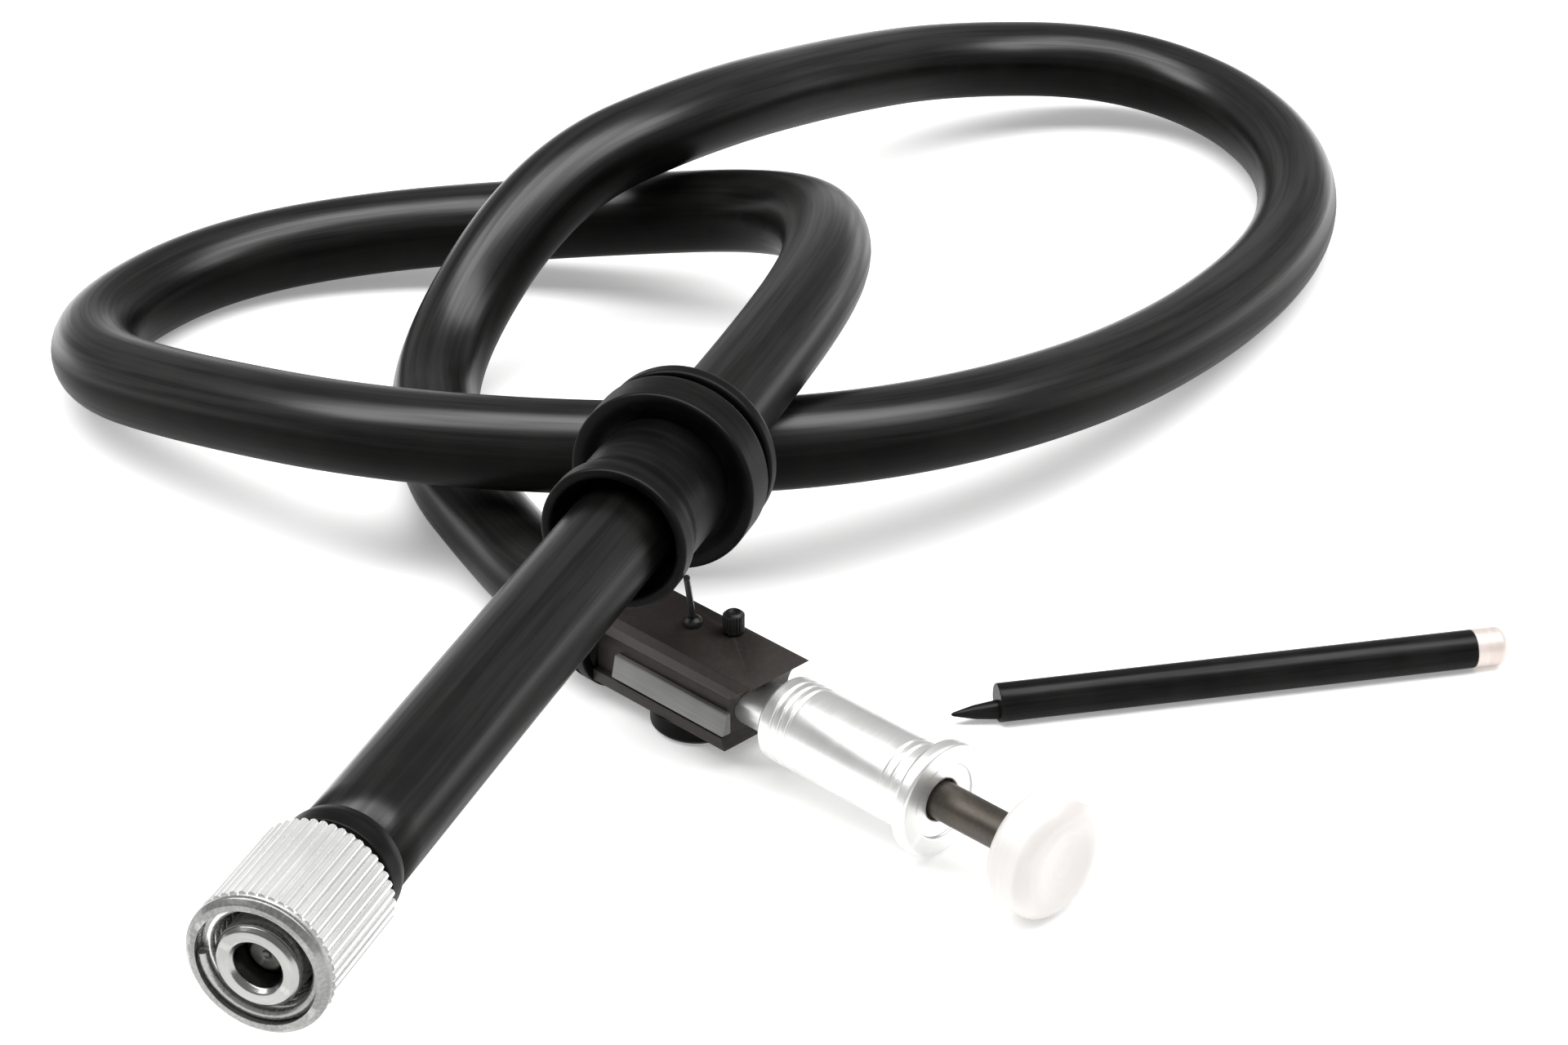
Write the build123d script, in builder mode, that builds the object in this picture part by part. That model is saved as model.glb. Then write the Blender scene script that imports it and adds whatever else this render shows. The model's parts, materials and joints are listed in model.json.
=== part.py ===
"""Cable shutter release: a rubber-sheathed cable with a knurled coupling nut at its camera end,
a panel grommet on the sheath, and a spring-returned plunger at its operating end.

Millimetres, +Z up. The floor is z = 0, and the origin lies on it, under the middle of the box
that holds the rigid pieces.
"""
from build123d import *
import math
import os

os.makedirs("parts", exist_ok=True)

# ---------------------------------------------------------------- driving dimensions
RUNNING = 0.05  # radial clearance of a shaft that slides or turns in its hole
SEATED = 0.02  # radial clearance of pieces that are pushed together and stay put
FACE_GAP = 0.1  # gap between a turning face and the face beside it
WIRE_RUNNING = 0.08  # radial clearance round the inner wire

SHEATH_D = 5.0  # rubber sheath, outside
SHEATH_BORE_D = 2.6
LINER_BORE_D = 1.3
WIRE_D = 0.8
STROKE = 4.5  # travel of the plunger, and of the push pin at the other end

NUT_D = 6.5
NUT_LENGTH = 6.5
NUT_WALL = 0.5  # round the open recess
NUT_CHAMFER = 0.3
NUT_RECESS_DEPTH = 4.6
NOZZLE_D = 3.8
NOZZLE_CHAMFER = 0.2
NOZZLE_REACH = 3.2  # free length of the nozzle inside the nut
NOZZLE_FLANGE = 1.0
WASHER_THICKNESS = 0.3
SHEATH_FRONT = 6.8  # the sheath's end face, behind the nut's mouth
PIN_D = 2.0
PIN_LENGTH = 7.0
PIN_SETBACK = 1.0  # the pin's tip, behind the mouth, at rest
PIN_TIP = 0.9
PIN_CHAMFER = 0.3
SPIGOT_LENGTH = 4.0  # front ferrule's tail inside the sheath
BAND_WALL = 0.25  # over the sheath
BAND_LENGTH = 1.4

COLLAR_START = 5.2  # the collar's lip, past the second point of the route
COLLAR_LENGTH = 6.5
COLLAR_WALL = 0.9  # over the sheath, as the next values are too
COLLAR_LIP_WALL = 1.25
COLLAR_LIP = 1.1
COLLAR_TAPER = 1.1  # from the lip down to the collar
BELL_GAP = 0.75  # open round the sheath at the mouth
BELL_DEPTH = 2.6
GROMMET_DISC_WALL = 2.3
GROMMET_DISC = 1.8
GROMMET_DISH = 0.4
GROMMET_RIM = 0.5  # flat rim of the dished face
GROMMET_STEP = 0.2  # the dish starts this far outside the collar
GROMMET_CHAMFER = 0.4
GROMMET_GROOVE_WALL = 1.1
GROMMET_GROOVE = 0.7
GROMMET_RING_WALL = 2.15
GROMMET_RING = 1.2
TETHER_D = 0.32

HANDLE_TURN = -45.0  # heading of the operating end, degrees from +X
HOUSING_WIDTH = 4.6
HOUSING_LENGTH = 11.2
HOUSING_TOP = 2.2  # above the handle's axis
HOUSING_BOTTOM = 1.9  # below the handle's axis
HOUSING_CHAMFER = 0.35
SIDE_GROOVE = 0.5
SIDE_GROOVE_HEIGHT = 0.75  # above the handle's axis
SCOOP_RADIUS = 3.0
SCOOP_DROP = 0.6
SCOOP_DEPTH = 2.0
STRIP_HEIGHT = 1.5
STRIP_THICKNESS = 0.6
STRIP_SINK = 0.35
STRIP_OVERHANG = 0.4  # the strip runs on under the scoop
REAR_FERRULE_D = 2.6
BOOT_WALL = 0.55  # over the sheath
BOOT_NOSE_WALL = 0.35
BOOT_LENGTH = 3.0
FERRULE_SEAT = 3.0  # rear ferrule inside the housing
REAR_SPIGOT = 2.4  # rear ferrule's tail inside the sheath
FOOT_D = 4.8
FOOT_PLACE = 5.2  # along the handle, from the housing's rear face
FOOT_CHAMFER = 0.3
FOOT_SCREW_D = 1.2
FOOT_SCREW_HEAD_D = 2.2
FOOT_SCREW_HEAD = 0.5
FOOT_SCREW_BITE = 0.7
TETHER_STUD_D = 1.0
TETHER_STUD_HEIGHT = 0.5
TETHER_PLACE = (0.3, 4.6)  # across and along the housing's top
TETHER_ANGLE = 24.0  # the wire's upper end meets the lip's right side, this far below level
TETHER_BACK = 0.5  # behind the lip's face
LOCK_PLACE = (1.2, 6.6)
LOCK_KNOB_D = 1.1
LOCK_KNOB = 1.1
LOCK_THREAD_D = 0.8
LOCK_DEPTH = 1.6

BARREL_D = 4.4
BARREL_CHAMFER = 0.3
BARREL_NECK_D = 2.6
BARREL_SPIGOT = 1.2  # length of the neck inside the housing
BARREL_GAP = 0.2  # from the housing's end to the barrel's shoulder
BARREL_LENGTH = 9.8
BARREL_END_WALL = 0.5
CHAMBER_D = 3.5
PLUNGER_D = 1.9
PLUNGER_REACH = 5.0  # shows between the flange and the button, at rest
WIRE_ENGAGEMENT = 2.4  # wire inside the plunger at rest
BUSH_LENGTH = 1.0
STOP_COLLAR_D = 3.3
STOP_COLLAR = 1.0
STOP_GAP = 0.3
SPRING_D = 3.2
SPRING_WIRE_D = 0.36
SPRING_TURNS = 6
FLANGE_D = 5.8
FLANGE_THICKNESS = 0.8
BUTTON_D = 6.0
BUTTON_THICKNESS = 2.6
BUTTON_DOME = 0.6
BUTTON_CHAMFER = 0.4
BUTTON_SOCKET = 1.6

SPARE_D = 2.0
SPARE_LENGTH = 25.2
NIB_D = 1.0  # pointed nib, low on the pin's blunt end
NIB_LIFT = 0.1  # the nib's underside, above the pin's
NIB_LENGTH = 2.4
NIB_ROOT = 1.0  # runs this far into the pin
NIB_TIP_D = 0.2
SPARE_CAP = 1.7
SPARE_CAP_WALL = 0.5  # the cap's end, past the stub
SPARE_STUB_D = 1.2  # the pin's stub inside the cap
SPARE_CHAMFER = 0.3
SPARE_TURN = 12.0
SPARE_PLACE = (4.0, 16.1)  # under the blunt end

ARC_SHARE = 0.45  # share of a run that a bend beside it takes

# Route of the cable, from the camera end to the operating end, chosen by hand. The camera end is
# held level above the floor, the two loops lie on it, and each crossing is a hump of two points.
ROUTE = [
    (-25.2, -16.4, 13.0),
    (-16.7, 6.6, 13.0),
    (-5.7, 35.6, 13.0),
    (-3.7, 49.1, 11.5),
    (-6.7, 61.6, 7.5),
    (-18.2, 67.1, 4.5),
    (-32.2, 68.1, 3.0),
    (-41.7, 64.6, 2.5),
    (-47.2, 56.6, 2.5),
    (-46.7, 48.6, 3.5),
    (-41.2, 42.1, 5.0),
    (-27.2, 31.1, 8.0),
    (-10.7, 29.6, 8.0),
    (2.8, 35.6, 6.5),
    (14.8, 48.6, 4.0),
    (24.3, 65.1, 2.5),
    (26.8, 78.1, 2.5),
    (23.3, 88.6, 3.0),
    (15.3, 93.6, 4.0),
    (4.3, 90.1, 5.5),
    (-3.2, 81.1, 8.0),
    (-11.7, 67.1, 11.5),
    (-20.7, 59.1, 10.5),
    (-27.2, 51.1, 2.5),
    (-25.7, 38.6, 2.5),
    (-22.2, 31.1, 2.5),
    (-18.7, 23.6, 3.1),
    (-14.7, 19.6, 3.1),
]


# ---------------------------------------------------------------- frames and helpers
def bend_radii(points):
    """Radius of the arc at each inner point, which takes ARC_SHARE of the shorter run beside it."""
    radii = []
    for before, here, after in zip(points, points[1:], points[2:]):
        run_in = Vector(*here) - Vector(*before)
        run_out = Vector(*after) - Vector(*here)
        half_turn = math.radians(run_in.get_angle(run_out)) / 2
        radii.append(ARC_SHARE * min(run_in.length, run_out.length) / math.tan(half_turn))
    return radii


def meridian(plane):
    """Plane through the axis of a turned piece: x runs along the axis, and y is its radius."""
    return Plane(origin=plane.origin, x_dir=plane.z_dir, z_dir=plane.x_dir)


def turning_axis(plane):
    """Axis that the pieces of this plane are turned about."""
    return Axis(plane.origin, plane.z_dir)


def beyond(end, neighbour, distance):
    """Point that lies a distance past the end of the route, in line with its last run."""
    heading = (Vector(*end) - Vector(*neighbour)).normalized()
    return Vector(*end) + heading * distance


BEND_RADII = bend_radii(ROUTE)
sheath_r = SHEATH_D / 2

mouth = beyond(ROUTE[0], ROUTE[1], SHEATH_FRONT)
FRONT = Plane(origin=mouth, x_dir=(0, 0, 1), z_dir=Vector(*ROUTE[1]) - Vector(*ROUTE[0]))

collar_heading = (Vector(*ROUTE[2]) - Vector(*ROUTE[1])).normalized()
COLLAR = Plane(
    origin=Vector(*ROUTE[1]) + collar_heading * COLLAR_START, x_dir=(0, 0, 1), z_dir=collar_heading
)

handle_heading = Vector(1, 0, 0).rotate(Axis.Z, HANDLE_TURN)
HANDLE = Plane(origin=ROUTE[-1], x_dir=handle_heading.rotate(Axis.Z, 90), z_dir=handle_heading)
AXIS_HEIGHT = ROUTE[-1][2]
FOOT_HEIGHT = AXIS_HEIGHT - HOUSING_BOTTOM


def deck_plane(place, height):
    """Level plane over a place (across, along) on the handle, at a height above its axis."""
    across, along = place
    return Plane(origin=HANDLE.from_local_coords((across, height, along)))


# ---------------------------------------------------------------- cable
with BuildPart() as sheath:
    with BuildLine() as sheath_path:
        FilletPolyline(*ROUTE, radius=BEND_RADII)
    with BuildSketch(Plane(origin=sheath_path.line @ 0, z_dir=sheath_path.line % 0)):
        Circle(sheath_r)
        Circle(SHEATH_BORE_D / 2, mode=Mode.SUBTRACT)
    sweep()
sheath.part.label = "sheath"
export_step(sheath.part, "parts/sheath.step")

# The liner fills the sheath's bore between the two ferrule spigots.
LINER_ROUTE = [
    beyond(ROUTE[0], ROUTE[1], -SPIGOT_LENGTH),
    *ROUTE[1:-1],
    beyond(ROUTE[-1], ROUTE[-2], -REAR_SPIGOT),
]
with BuildPart() as liner:
    with BuildLine() as liner_path:
        FilletPolyline(*LINER_ROUTE, radius=BEND_RADII)
    with BuildSketch(Plane(origin=liner_path.line @ 0, z_dir=liner_path.line % 0)):
        Circle(SHEATH_BORE_D / 2 - SEATED)
        Circle(LINER_BORE_D / 2, mode=Mode.SUBTRACT)
    sweep()
liner.part.label = "liner"
export_step(liner.part, "parts/liner.step")

# The wire runs on past the sheath, into the push pin at one end and the plunger at the other.
pin_hole_end = PIN_SETBACK + PIN_TIP
wire_front = pin_hole_end + STOP_GAP
barrel_start = HOUSING_LENGTH + BARREL_GAP
barrel_end = barrel_start + BARREL_LENGTH
button_seat = barrel_end + FLANGE_THICKNESS + PLUNGER_REACH
chamber_start = barrel_start + BARREL_END_WALL
plunger_rear = chamber_start + STROKE + STOP_GAP
wire_rear = plunger_rear + WIRE_ENGAGEMENT
WIRE_ROUTE = [
    beyond(ROUTE[0], ROUTE[1], SHEATH_FRONT - wire_front),
    *ROUTE[1:-1],
    beyond(ROUTE[-1], ROUTE[-2], wire_rear),
]
with BuildPart() as inner_wire:
    with BuildLine() as wire_path:
        FilletPolyline(*WIRE_ROUTE, radius=BEND_RADII)
    with BuildSketch(Plane(origin=wire_path.line @ 0, z_dir=wire_path.line % 0)):
        Circle(WIRE_D / 2)
    sweep()
inner_wire.part.label = "inner_wire"
export_step(inner_wire.part, "parts/inner_wire.step")

# ---------------------------------------------------------------- camera end
nozzle_bore_r = PIN_D / 2 + RUNNING
wire_hole_r = WIRE_D / 2 + WIRE_RUNNING
nozzle_end = NOZZLE_REACH + NOZZLE_FLANGE
nut_lip_r = NOZZLE_D / 2 + RUNNING
nut_recess_r = NUT_D / 2 - NUT_WALL
pin_end = PIN_SETBACK + PIN_LENGTH

with BuildPart() as coupling_nut:
    with BuildSketch(meridian(FRONT)):
        with BuildLine():
            Polyline(
                (NUT_CHAMFER, NUT_D / 2),
                (NUT_LENGTH - NUT_CHAMFER, NUT_D / 2),
                (NUT_LENGTH, NUT_D / 2 - NUT_CHAMFER),
                (NUT_LENGTH, nut_lip_r),
                (NUT_RECESS_DEPTH, nut_lip_r),
                (NUT_RECESS_DEPTH, nut_recess_r),
                (0, nut_recess_r),
                (0, NUT_D / 2 - NUT_CHAMFER),
                close=True,
            )
        make_face()
    revolve(axis=turning_axis(FRONT))
coupling_nut.part.label = "coupling_nut"
export_step(coupling_nut.part, "parts/coupling_nut.step")

with BuildPart() as nozzle:
    with BuildSketch(meridian(FRONT)):
        with BuildLine():
            Polyline(
                (NOZZLE_CHAMFER, NOZZLE_D / 2),
                (NOZZLE_REACH, NOZZLE_D / 2),
                (NOZZLE_REACH, nut_recess_r - RUNNING),
                (nozzle_end, nut_recess_r - RUNNING),
                (nozzle_end, nozzle_bore_r),
                (NOZZLE_CHAMFER, nozzle_bore_r),
                (0, nozzle_bore_r + NOZZLE_CHAMFER),
                (0, NOZZLE_D / 2 - NOZZLE_CHAMFER),
                close=True,
            )
        make_face()
    revolve(axis=turning_axis(FRONT))
nozzle.part.label = "nozzle"
export_step(nozzle.part, "parts/nozzle.step")

# A wave washer keeps the nut's inner lip off the nozzle's flange.
with BuildPart() as nut_washer:
    with BuildSketch(FRONT.offset(nozzle_end)):
        Circle(nut_recess_r - RUNNING)
        Circle(NOZZLE_D / 2 + SEATED, mode=Mode.SUBTRACT)
    extrude(amount=WASHER_THICKNESS)
nut_washer.part.label = "nut_washer"
export_step(nut_washer.part, "parts/nut_washer.step")

with BuildPart() as front_ferrule:
    with BuildSketch(meridian(FRONT)):
        with BuildLine():
            Polyline(
                (nozzle_end, NOZZLE_D / 2),
                (SHEATH_FRONT, NOZZLE_D / 2),
                (SHEATH_FRONT, SHEATH_BORE_D / 2 - SEATED),
                (SHEATH_FRONT + SPIGOT_LENGTH, SHEATH_BORE_D / 2 - SEATED),
                (SHEATH_FRONT + SPIGOT_LENGTH, wire_hole_r),
                (pin_end + STOP_GAP, wire_hole_r),
                (pin_end + STOP_GAP, nozzle_bore_r),
                (nozzle_end, nozzle_bore_r),
                close=True,
            )
        make_face()
    revolve(axis=turning_axis(FRONT))
front_ferrule.part.label = "front_ferrule"
export_step(front_ferrule.part, "parts/front_ferrule.step")

# The push pin rides on the wire's end: its blind hole is open at the back.
with BuildPart() as push_pin:
    with BuildSketch(meridian(FRONT)):
        with BuildLine():
            Polyline(
                (PIN_SETBACK, 0),
                (PIN_SETBACK, PIN_D / 2 - PIN_CHAMFER),
                (PIN_SETBACK + PIN_CHAMFER, PIN_D / 2),
                (pin_end, PIN_D / 2),
                (pin_end, wire_hole_r),
                (pin_hole_end, wire_hole_r),
                (pin_hole_end, 0),
                close=True,
            )
        make_face()
    revolve(axis=turning_axis(FRONT))
push_pin.part.label = "push_pin"
export_step(push_pin.part, "parts/push_pin.step")

with BuildPart() as sheath_band:
    with BuildSketch(FRONT.offset(SHEATH_FRONT)):
        Circle(sheath_r + BAND_WALL)
        Circle(sheath_r + SEATED, mode=Mode.SUBTRACT)
    extrude(amount=BAND_LENGTH)
sheath_band.part.label = "sheath_band"
export_step(sheath_band.part, "parts/sheath_band.step")

# ---------------------------------------------------------------- panel grommet
grip_r = sheath_r + RUNNING
collar_r = sheath_r + COLLAR_WALL
lip_r = sheath_r + COLLAR_LIP_WALL
disc_r = sheath_r + GROMMET_DISC_WALL
ring_r = sheath_r + GROMMET_RING_WALL

with BuildPart() as grommet_collar:
    with BuildSketch(meridian(COLLAR)):
        with BuildLine():
            Polyline(
                (0, sheath_r + BELL_GAP),
                (0, lip_r),
                (COLLAR_LIP, lip_r),
                (COLLAR_LIP + COLLAR_TAPER, collar_r),
                (COLLAR_LENGTH, collar_r),
                (COLLAR_LENGTH, grip_r),
                (BELL_DEPTH, grip_r),
                close=True,
            )
        make_face()
    revolve(axis=turning_axis(COLLAR))
grommet_collar.part.label = "grommet_collar"
export_step(grommet_collar.part, "parts/grommet_collar.step")

groove_start = COLLAR_LENGTH + GROMMET_DISC
ring_start = groove_start + GROMMET_GROOVE
grommet_end = ring_start + GROMMET_RING
with BuildPart() as grommet:
    with BuildSketch(meridian(COLLAR)):
        with BuildLine():
            Polyline(
                (COLLAR_LENGTH, grip_r),
                (COLLAR_LENGTH, collar_r + GROMMET_STEP),
                (COLLAR_LENGTH - GROMMET_DISH, disc_r - GROMMET_RIM),
                (COLLAR_LENGTH - GROMMET_DISH, disc_r),
                (groove_start, disc_r),
                (groove_start, sheath_r + GROMMET_GROOVE_WALL),
                (ring_start, sheath_r + GROMMET_GROOVE_WALL),
                (ring_start, ring_r),
                (grommet_end - GROMMET_CHAMFER, ring_r),
                (grommet_end, ring_r - GROMMET_CHAMFER),
                (grommet_end, grip_r),
                close=True,
            )
        make_face()
    revolve(axis=turning_axis(COLLAR))
grommet.part.label = "grommet"
export_step(grommet.part, "parts/grommet.step")

# ---------------------------------------------------------------- operating end
housing_half = HOUSING_WIDTH / 2
strip_top = SIDE_GROOVE_HEIGHT - SIDE_GROOVE
strip_low = strip_top - STRIP_HEIGHT
scoop_floor = HOUSING_LENGTH - SCOOP_DEPTH
neck_start = scoop_floor - BARREL_SPIGOT
foot_hole_r = FOOT_SCREW_D / 2 + SEATED
lock_hole_r = LOCK_THREAD_D / 2 + RUNNING
lock_hole_end = HOUSING_TOP - LOCK_DEPTH - FACE_GAP

with BuildPart() as housing:
    with BuildSketch(HANDLE):
        with BuildLine():
            Polyline(
                (-housing_half, HOUSING_TOP - HOUSING_CHAMFER),
                (-housing_half + HOUSING_CHAMFER, HOUSING_TOP),
                (housing_half - HOUSING_CHAMFER, HOUSING_TOP),
                (housing_half, HOUSING_TOP - HOUSING_CHAMFER),
                (housing_half, -HOUSING_BOTTOM),
                (-housing_half, -HOUSING_BOTTOM),
                (-housing_half, strip_low),
                (-housing_half + STRIP_SINK, strip_low),
                (-housing_half + STRIP_SINK, strip_top),
                (-housing_half + SIDE_GROOVE, SIDE_GROOVE_HEIGHT),
                (-housing_half, SIDE_GROOVE_HEIGHT + SIDE_GROOVE),
                close=True,
            )
        make_face()
    extrude(amount=HOUSING_LENGTH)
    with BuildSketch(Plane(origin=HANDLE.origin, x_dir=HANDLE.z_dir, z_dir=HANDLE.x_dir)):
        with Locations((scoop_floor + SCOOP_RADIUS, SCOOP_DROP)):
            Circle(SCOOP_RADIUS)
    extrude(amount=HOUSING_WIDTH, both=True, mode=Mode.SUBTRACT)
    with BuildSketch(HANDLE):
        Circle(REAR_FERRULE_D / 2 + SEATED)
    extrude(amount=FERRULE_SEAT, mode=Mode.SUBTRACT)
    with BuildSketch(HANDLE):
        Circle(wire_hole_r)
    extrude(amount=HOUSING_LENGTH, mode=Mode.SUBTRACT)
    with BuildSketch(HANDLE.offset(neck_start)):
        Circle(BARREL_NECK_D / 2 + SEATED)
    extrude(amount=HOUSING_LENGTH, mode=Mode.SUBTRACT)
    with BuildSketch(deck_plane((0, FOOT_PLACE), -HOUSING_BOTTOM)):
        Circle(foot_hole_r)
    extrude(amount=FOOT_SCREW_BITE + FACE_GAP, mode=Mode.SUBTRACT)
    with BuildSketch(deck_plane(LOCK_PLACE, lock_hole_end)):
        Circle(lock_hole_r)
    extrude(amount=HOUSING_TOP, mode=Mode.SUBTRACT)
housing.part.label = "housing"
export_step(housing.part, "parts/housing.step")

# The grey strip lies in its shallow seat under the side groove, and stands a little proud.
with BuildPart() as side_strip:
    with BuildSketch(HANDLE):
        with BuildLine():
            Polyline(
                (-housing_half + STRIP_SINK, strip_top),
                (-housing_half + STRIP_SINK, strip_low),
                (-housing_half + STRIP_SINK - STRIP_THICKNESS, strip_low),
                (-housing_half, strip_top),
                close=True,
            )
        make_face()
    extrude(amount=scoop_floor + STRIP_OVERHANG)
side_strip.part.label = "side_strip"
export_step(side_strip.part, "parts/side_strip.step")

with BuildPart() as rear_ferrule:
    with BuildSketch(meridian(HANDLE)):
        with BuildLine():
            Polyline(
                (-REAR_SPIGOT, wire_hole_r),
                (-REAR_SPIGOT, SHEATH_BORE_D / 2 - SEATED),
                (0, SHEATH_BORE_D / 2 - SEATED),
                (0, REAR_FERRULE_D / 2),
                (FERRULE_SEAT, REAR_FERRULE_D / 2),
                (FERRULE_SEAT, wire_hole_r),
                close=True,
            )
        make_face()
    revolve(axis=turning_axis(HANDLE))
rear_ferrule.part.label = "rear_ferrule"
export_step(rear_ferrule.part, "parts/rear_ferrule.step")

boot_r = sheath_r + BOOT_WALL
with BuildPart() as cable_boot:
    with BuildSketch(meridian(HANDLE)):
        with BuildLine():
            Polyline(
                (-BOOT_LENGTH, sheath_r + RUNNING),
                (-BOOT_LENGTH, sheath_r + BOOT_NOSE_WALL),
                (-BOOT_LENGTH / 2, boot_r),
                (0, boot_r),
                (0, sheath_r + RUNNING),
                close=True,
            )
        make_face()
    revolve(axis=turning_axis(HANDLE))
cable_boot.part.label = "cable_boot"
export_step(cable_boot.part, "parts/cable_boot.step")

# The foot stands on the floor, and one screw from below holds it to the housing.
foot_floor = deck_plane((0, FOOT_PLACE), -AXIS_HEIGHT)
with BuildPart() as foot:
    with BuildSketch(foot_floor):
        Circle(FOOT_D / 2)
    extrude(amount=FOOT_HEIGHT)
    chamfer(foot.edges().group_by(Axis.Z)[0], FOOT_CHAMFER)
    with BuildSketch(foot_floor):
        Circle(foot_hole_r)
    extrude(amount=FOOT_HEIGHT, mode=Mode.SUBTRACT)
    with BuildSketch(foot_floor):
        Circle(FOOT_SCREW_HEAD_D / 2 + RUNNING)
    extrude(amount=FOOT_SCREW_HEAD + FACE_GAP, mode=Mode.SUBTRACT)
foot.part.label = "foot"
export_step(foot.part, "parts/foot.step")

with BuildPart() as foot_screw:
    with BuildSketch(foot_floor.offset(FACE_GAP)):
        Circle(FOOT_SCREW_HEAD_D / 2)
    extrude(amount=FOOT_SCREW_HEAD)
    with BuildSketch(foot_floor.offset(FACE_GAP)):
        Circle(FOOT_SCREW_D / 2)
    extrude(amount=FOOT_HEIGHT + FOOT_SCREW_BITE - FACE_GAP)
foot_screw.part.label = "foot_screw"
export_step(foot_screw.part, "parts/foot_screw.step")

with BuildPart() as lock_screw:
    with BuildSketch(deck_plane(LOCK_PLACE, HOUSING_TOP + FACE_GAP)):
        Circle(LOCK_KNOB_D / 2)
    extrude(amount=LOCK_KNOB)
    with BuildSketch(deck_plane(LOCK_PLACE, HOUSING_TOP - LOCK_DEPTH)):
        Circle(LOCK_THREAD_D / 2)
    extrude(amount=LOCK_DEPTH + LOCK_KNOB)
lock_screw.part.label = "lock_screw"
export_step(lock_screw.part, "parts/lock_screw.step")

with BuildPart() as tether_stud:
    with BuildSketch(deck_plane(TETHER_PLACE, HOUSING_TOP)):
        Circle(TETHER_STUD_D / 2)
    extrude(amount=TETHER_STUD_HEIGHT)
tether_stud.part.label = "tether_stud"
export_step(tether_stud.part, "parts/tether_stud.step")

# The tether is one straight wire from the collar's lip down to the stud on the housing.
stud_across, stud_along = TETHER_PLACE
tether_foot = HANDLE.from_local_coords((stud_across, HOUSING_TOP + TETHER_STUD_HEIGHT, stud_along))
tether_head_r = lip_r + TETHER_D / 2 + SEATED
tether_drop = tether_head_r * math.sin(math.radians(TETHER_ANGLE))
tether_side = tether_head_r * math.cos(math.radians(TETHER_ANGLE))
tether_head = COLLAR.from_local_coords((-tether_drop, tether_side, TETHER_BACK))
with BuildPart() as tether_wire:
    with BuildLine() as tether_path:
        Line(tether_foot, tether_head)
    with BuildSketch(Plane(origin=tether_foot, z_dir=tether_head - tether_foot)):
        Circle(TETHER_D / 2)
    sweep()
tether_wire.part.label = "tether_wire"
export_step(tether_wire.part, "parts/tether_wire.step")

# ---------------------------------------------------------------- barrel and plunger
plunger_r = PLUNGER_D / 2
chamber_r = CHAMBER_D / 2
bush_start = barrel_end - BUSH_LENGTH
collar_end = bush_start - STOP_GAP
collar_start = collar_end - STOP_COLLAR

with BuildPart() as barrel:
    with BuildSketch(meridian(HANDLE)):
        with BuildLine():
            Polyline(
                (neck_start, wire_hole_r),
                (neck_start, BARREL_NECK_D / 2),
                (barrel_start, BARREL_NECK_D / 2),
                (barrel_start, BARREL_D / 2 - BARREL_CHAMFER),
                (barrel_start + BARREL_CHAMFER, BARREL_D / 2),
                (barrel_end, BARREL_D / 2),
                (barrel_end, chamber_r),
                (chamber_start, chamber_r),
                (chamber_start, wire_hole_r),
                close=True,
            )
        make_face()
    revolve(axis=turning_axis(HANDLE))
barrel.part.label = "barrel"
export_step(barrel.part, "parts/barrel.step")

with BuildPart() as guide_bush:
    with BuildSketch(HANDLE.offset(bush_start)):
        Circle(chamber_r - SEATED)
        Circle(plunger_r + RUNNING, mode=Mode.SUBTRACT)
    extrude(amount=BUSH_LENGTH)
guide_bush.part.label = "guide_bush"
export_step(guide_bush.part, "parts/guide_bush.step")

with BuildPart() as finger_flange:
    with BuildSketch(HANDLE.offset(barrel_end)):
        Circle(FLANGE_D / 2)
        Circle(plunger_r + 2 * RUNNING, mode=Mode.SUBTRACT)
    extrude(amount=FLANGE_THICKNESS)
finger_flange.part.label = "finger_flange"
export_step(finger_flange.part, "parts/finger_flange.step")

# The plunger's blind hole takes the wire's end, and is deep enough for the whole stroke.
plunger_hole_end = wire_rear + STROKE + STOP_GAP
with BuildPart() as plunger:
    with BuildSketch(meridian(HANDLE)):
        with BuildLine():
            Polyline(
                (plunger_rear, wire_hole_r),
                (plunger_rear, plunger_r),
                (button_seat + BUTTON_SOCKET, plunger_r),
                (button_seat + BUTTON_SOCKET, 0),
                (plunger_hole_end, 0),
                (plunger_hole_end, wire_hole_r),
                close=True,
            )
        make_face()
    revolve(axis=turning_axis(HANDLE))
plunger.part.label = "plunger"
export_step(plunger.part, "parts/plunger.step")

with BuildPart() as stop_collar:
    with BuildSketch(HANDLE.offset(collar_start)):
        Circle(STOP_COLLAR_D / 2)
        Circle(plunger_r + SEATED, mode=Mode.SUBTRACT)
    extrude(amount=STOP_COLLAR)
stop_collar.part.label = "stop_collar"
export_step(stop_collar.part, "parts/stop_collar.step")

spring_room = collar_start - chamber_start
spring_height = spring_room - SPRING_WIRE_D - 2 * SEATED
with BuildPart() as return_spring:
    with BuildLine() as coil:
        Helix(
            pitch=spring_height / SPRING_TURNS,
            height=spring_height,
            radius=(SPRING_D - SPRING_WIRE_D) / 2,
            center=HANDLE.from_local_coords((0, 0, chamber_start + SPRING_WIRE_D / 2 + SEATED)),
            direction=HANDLE.z_dir,
        )
    with BuildSketch(Plane(origin=coil.line @ 0, z_dir=coil.line % 0)):
        Circle(SPRING_WIRE_D / 2)
    sweep(is_frenet=True)
return_spring.part.label = "return_spring"
export_step(return_spring.part, "parts/return_spring.step")

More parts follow.
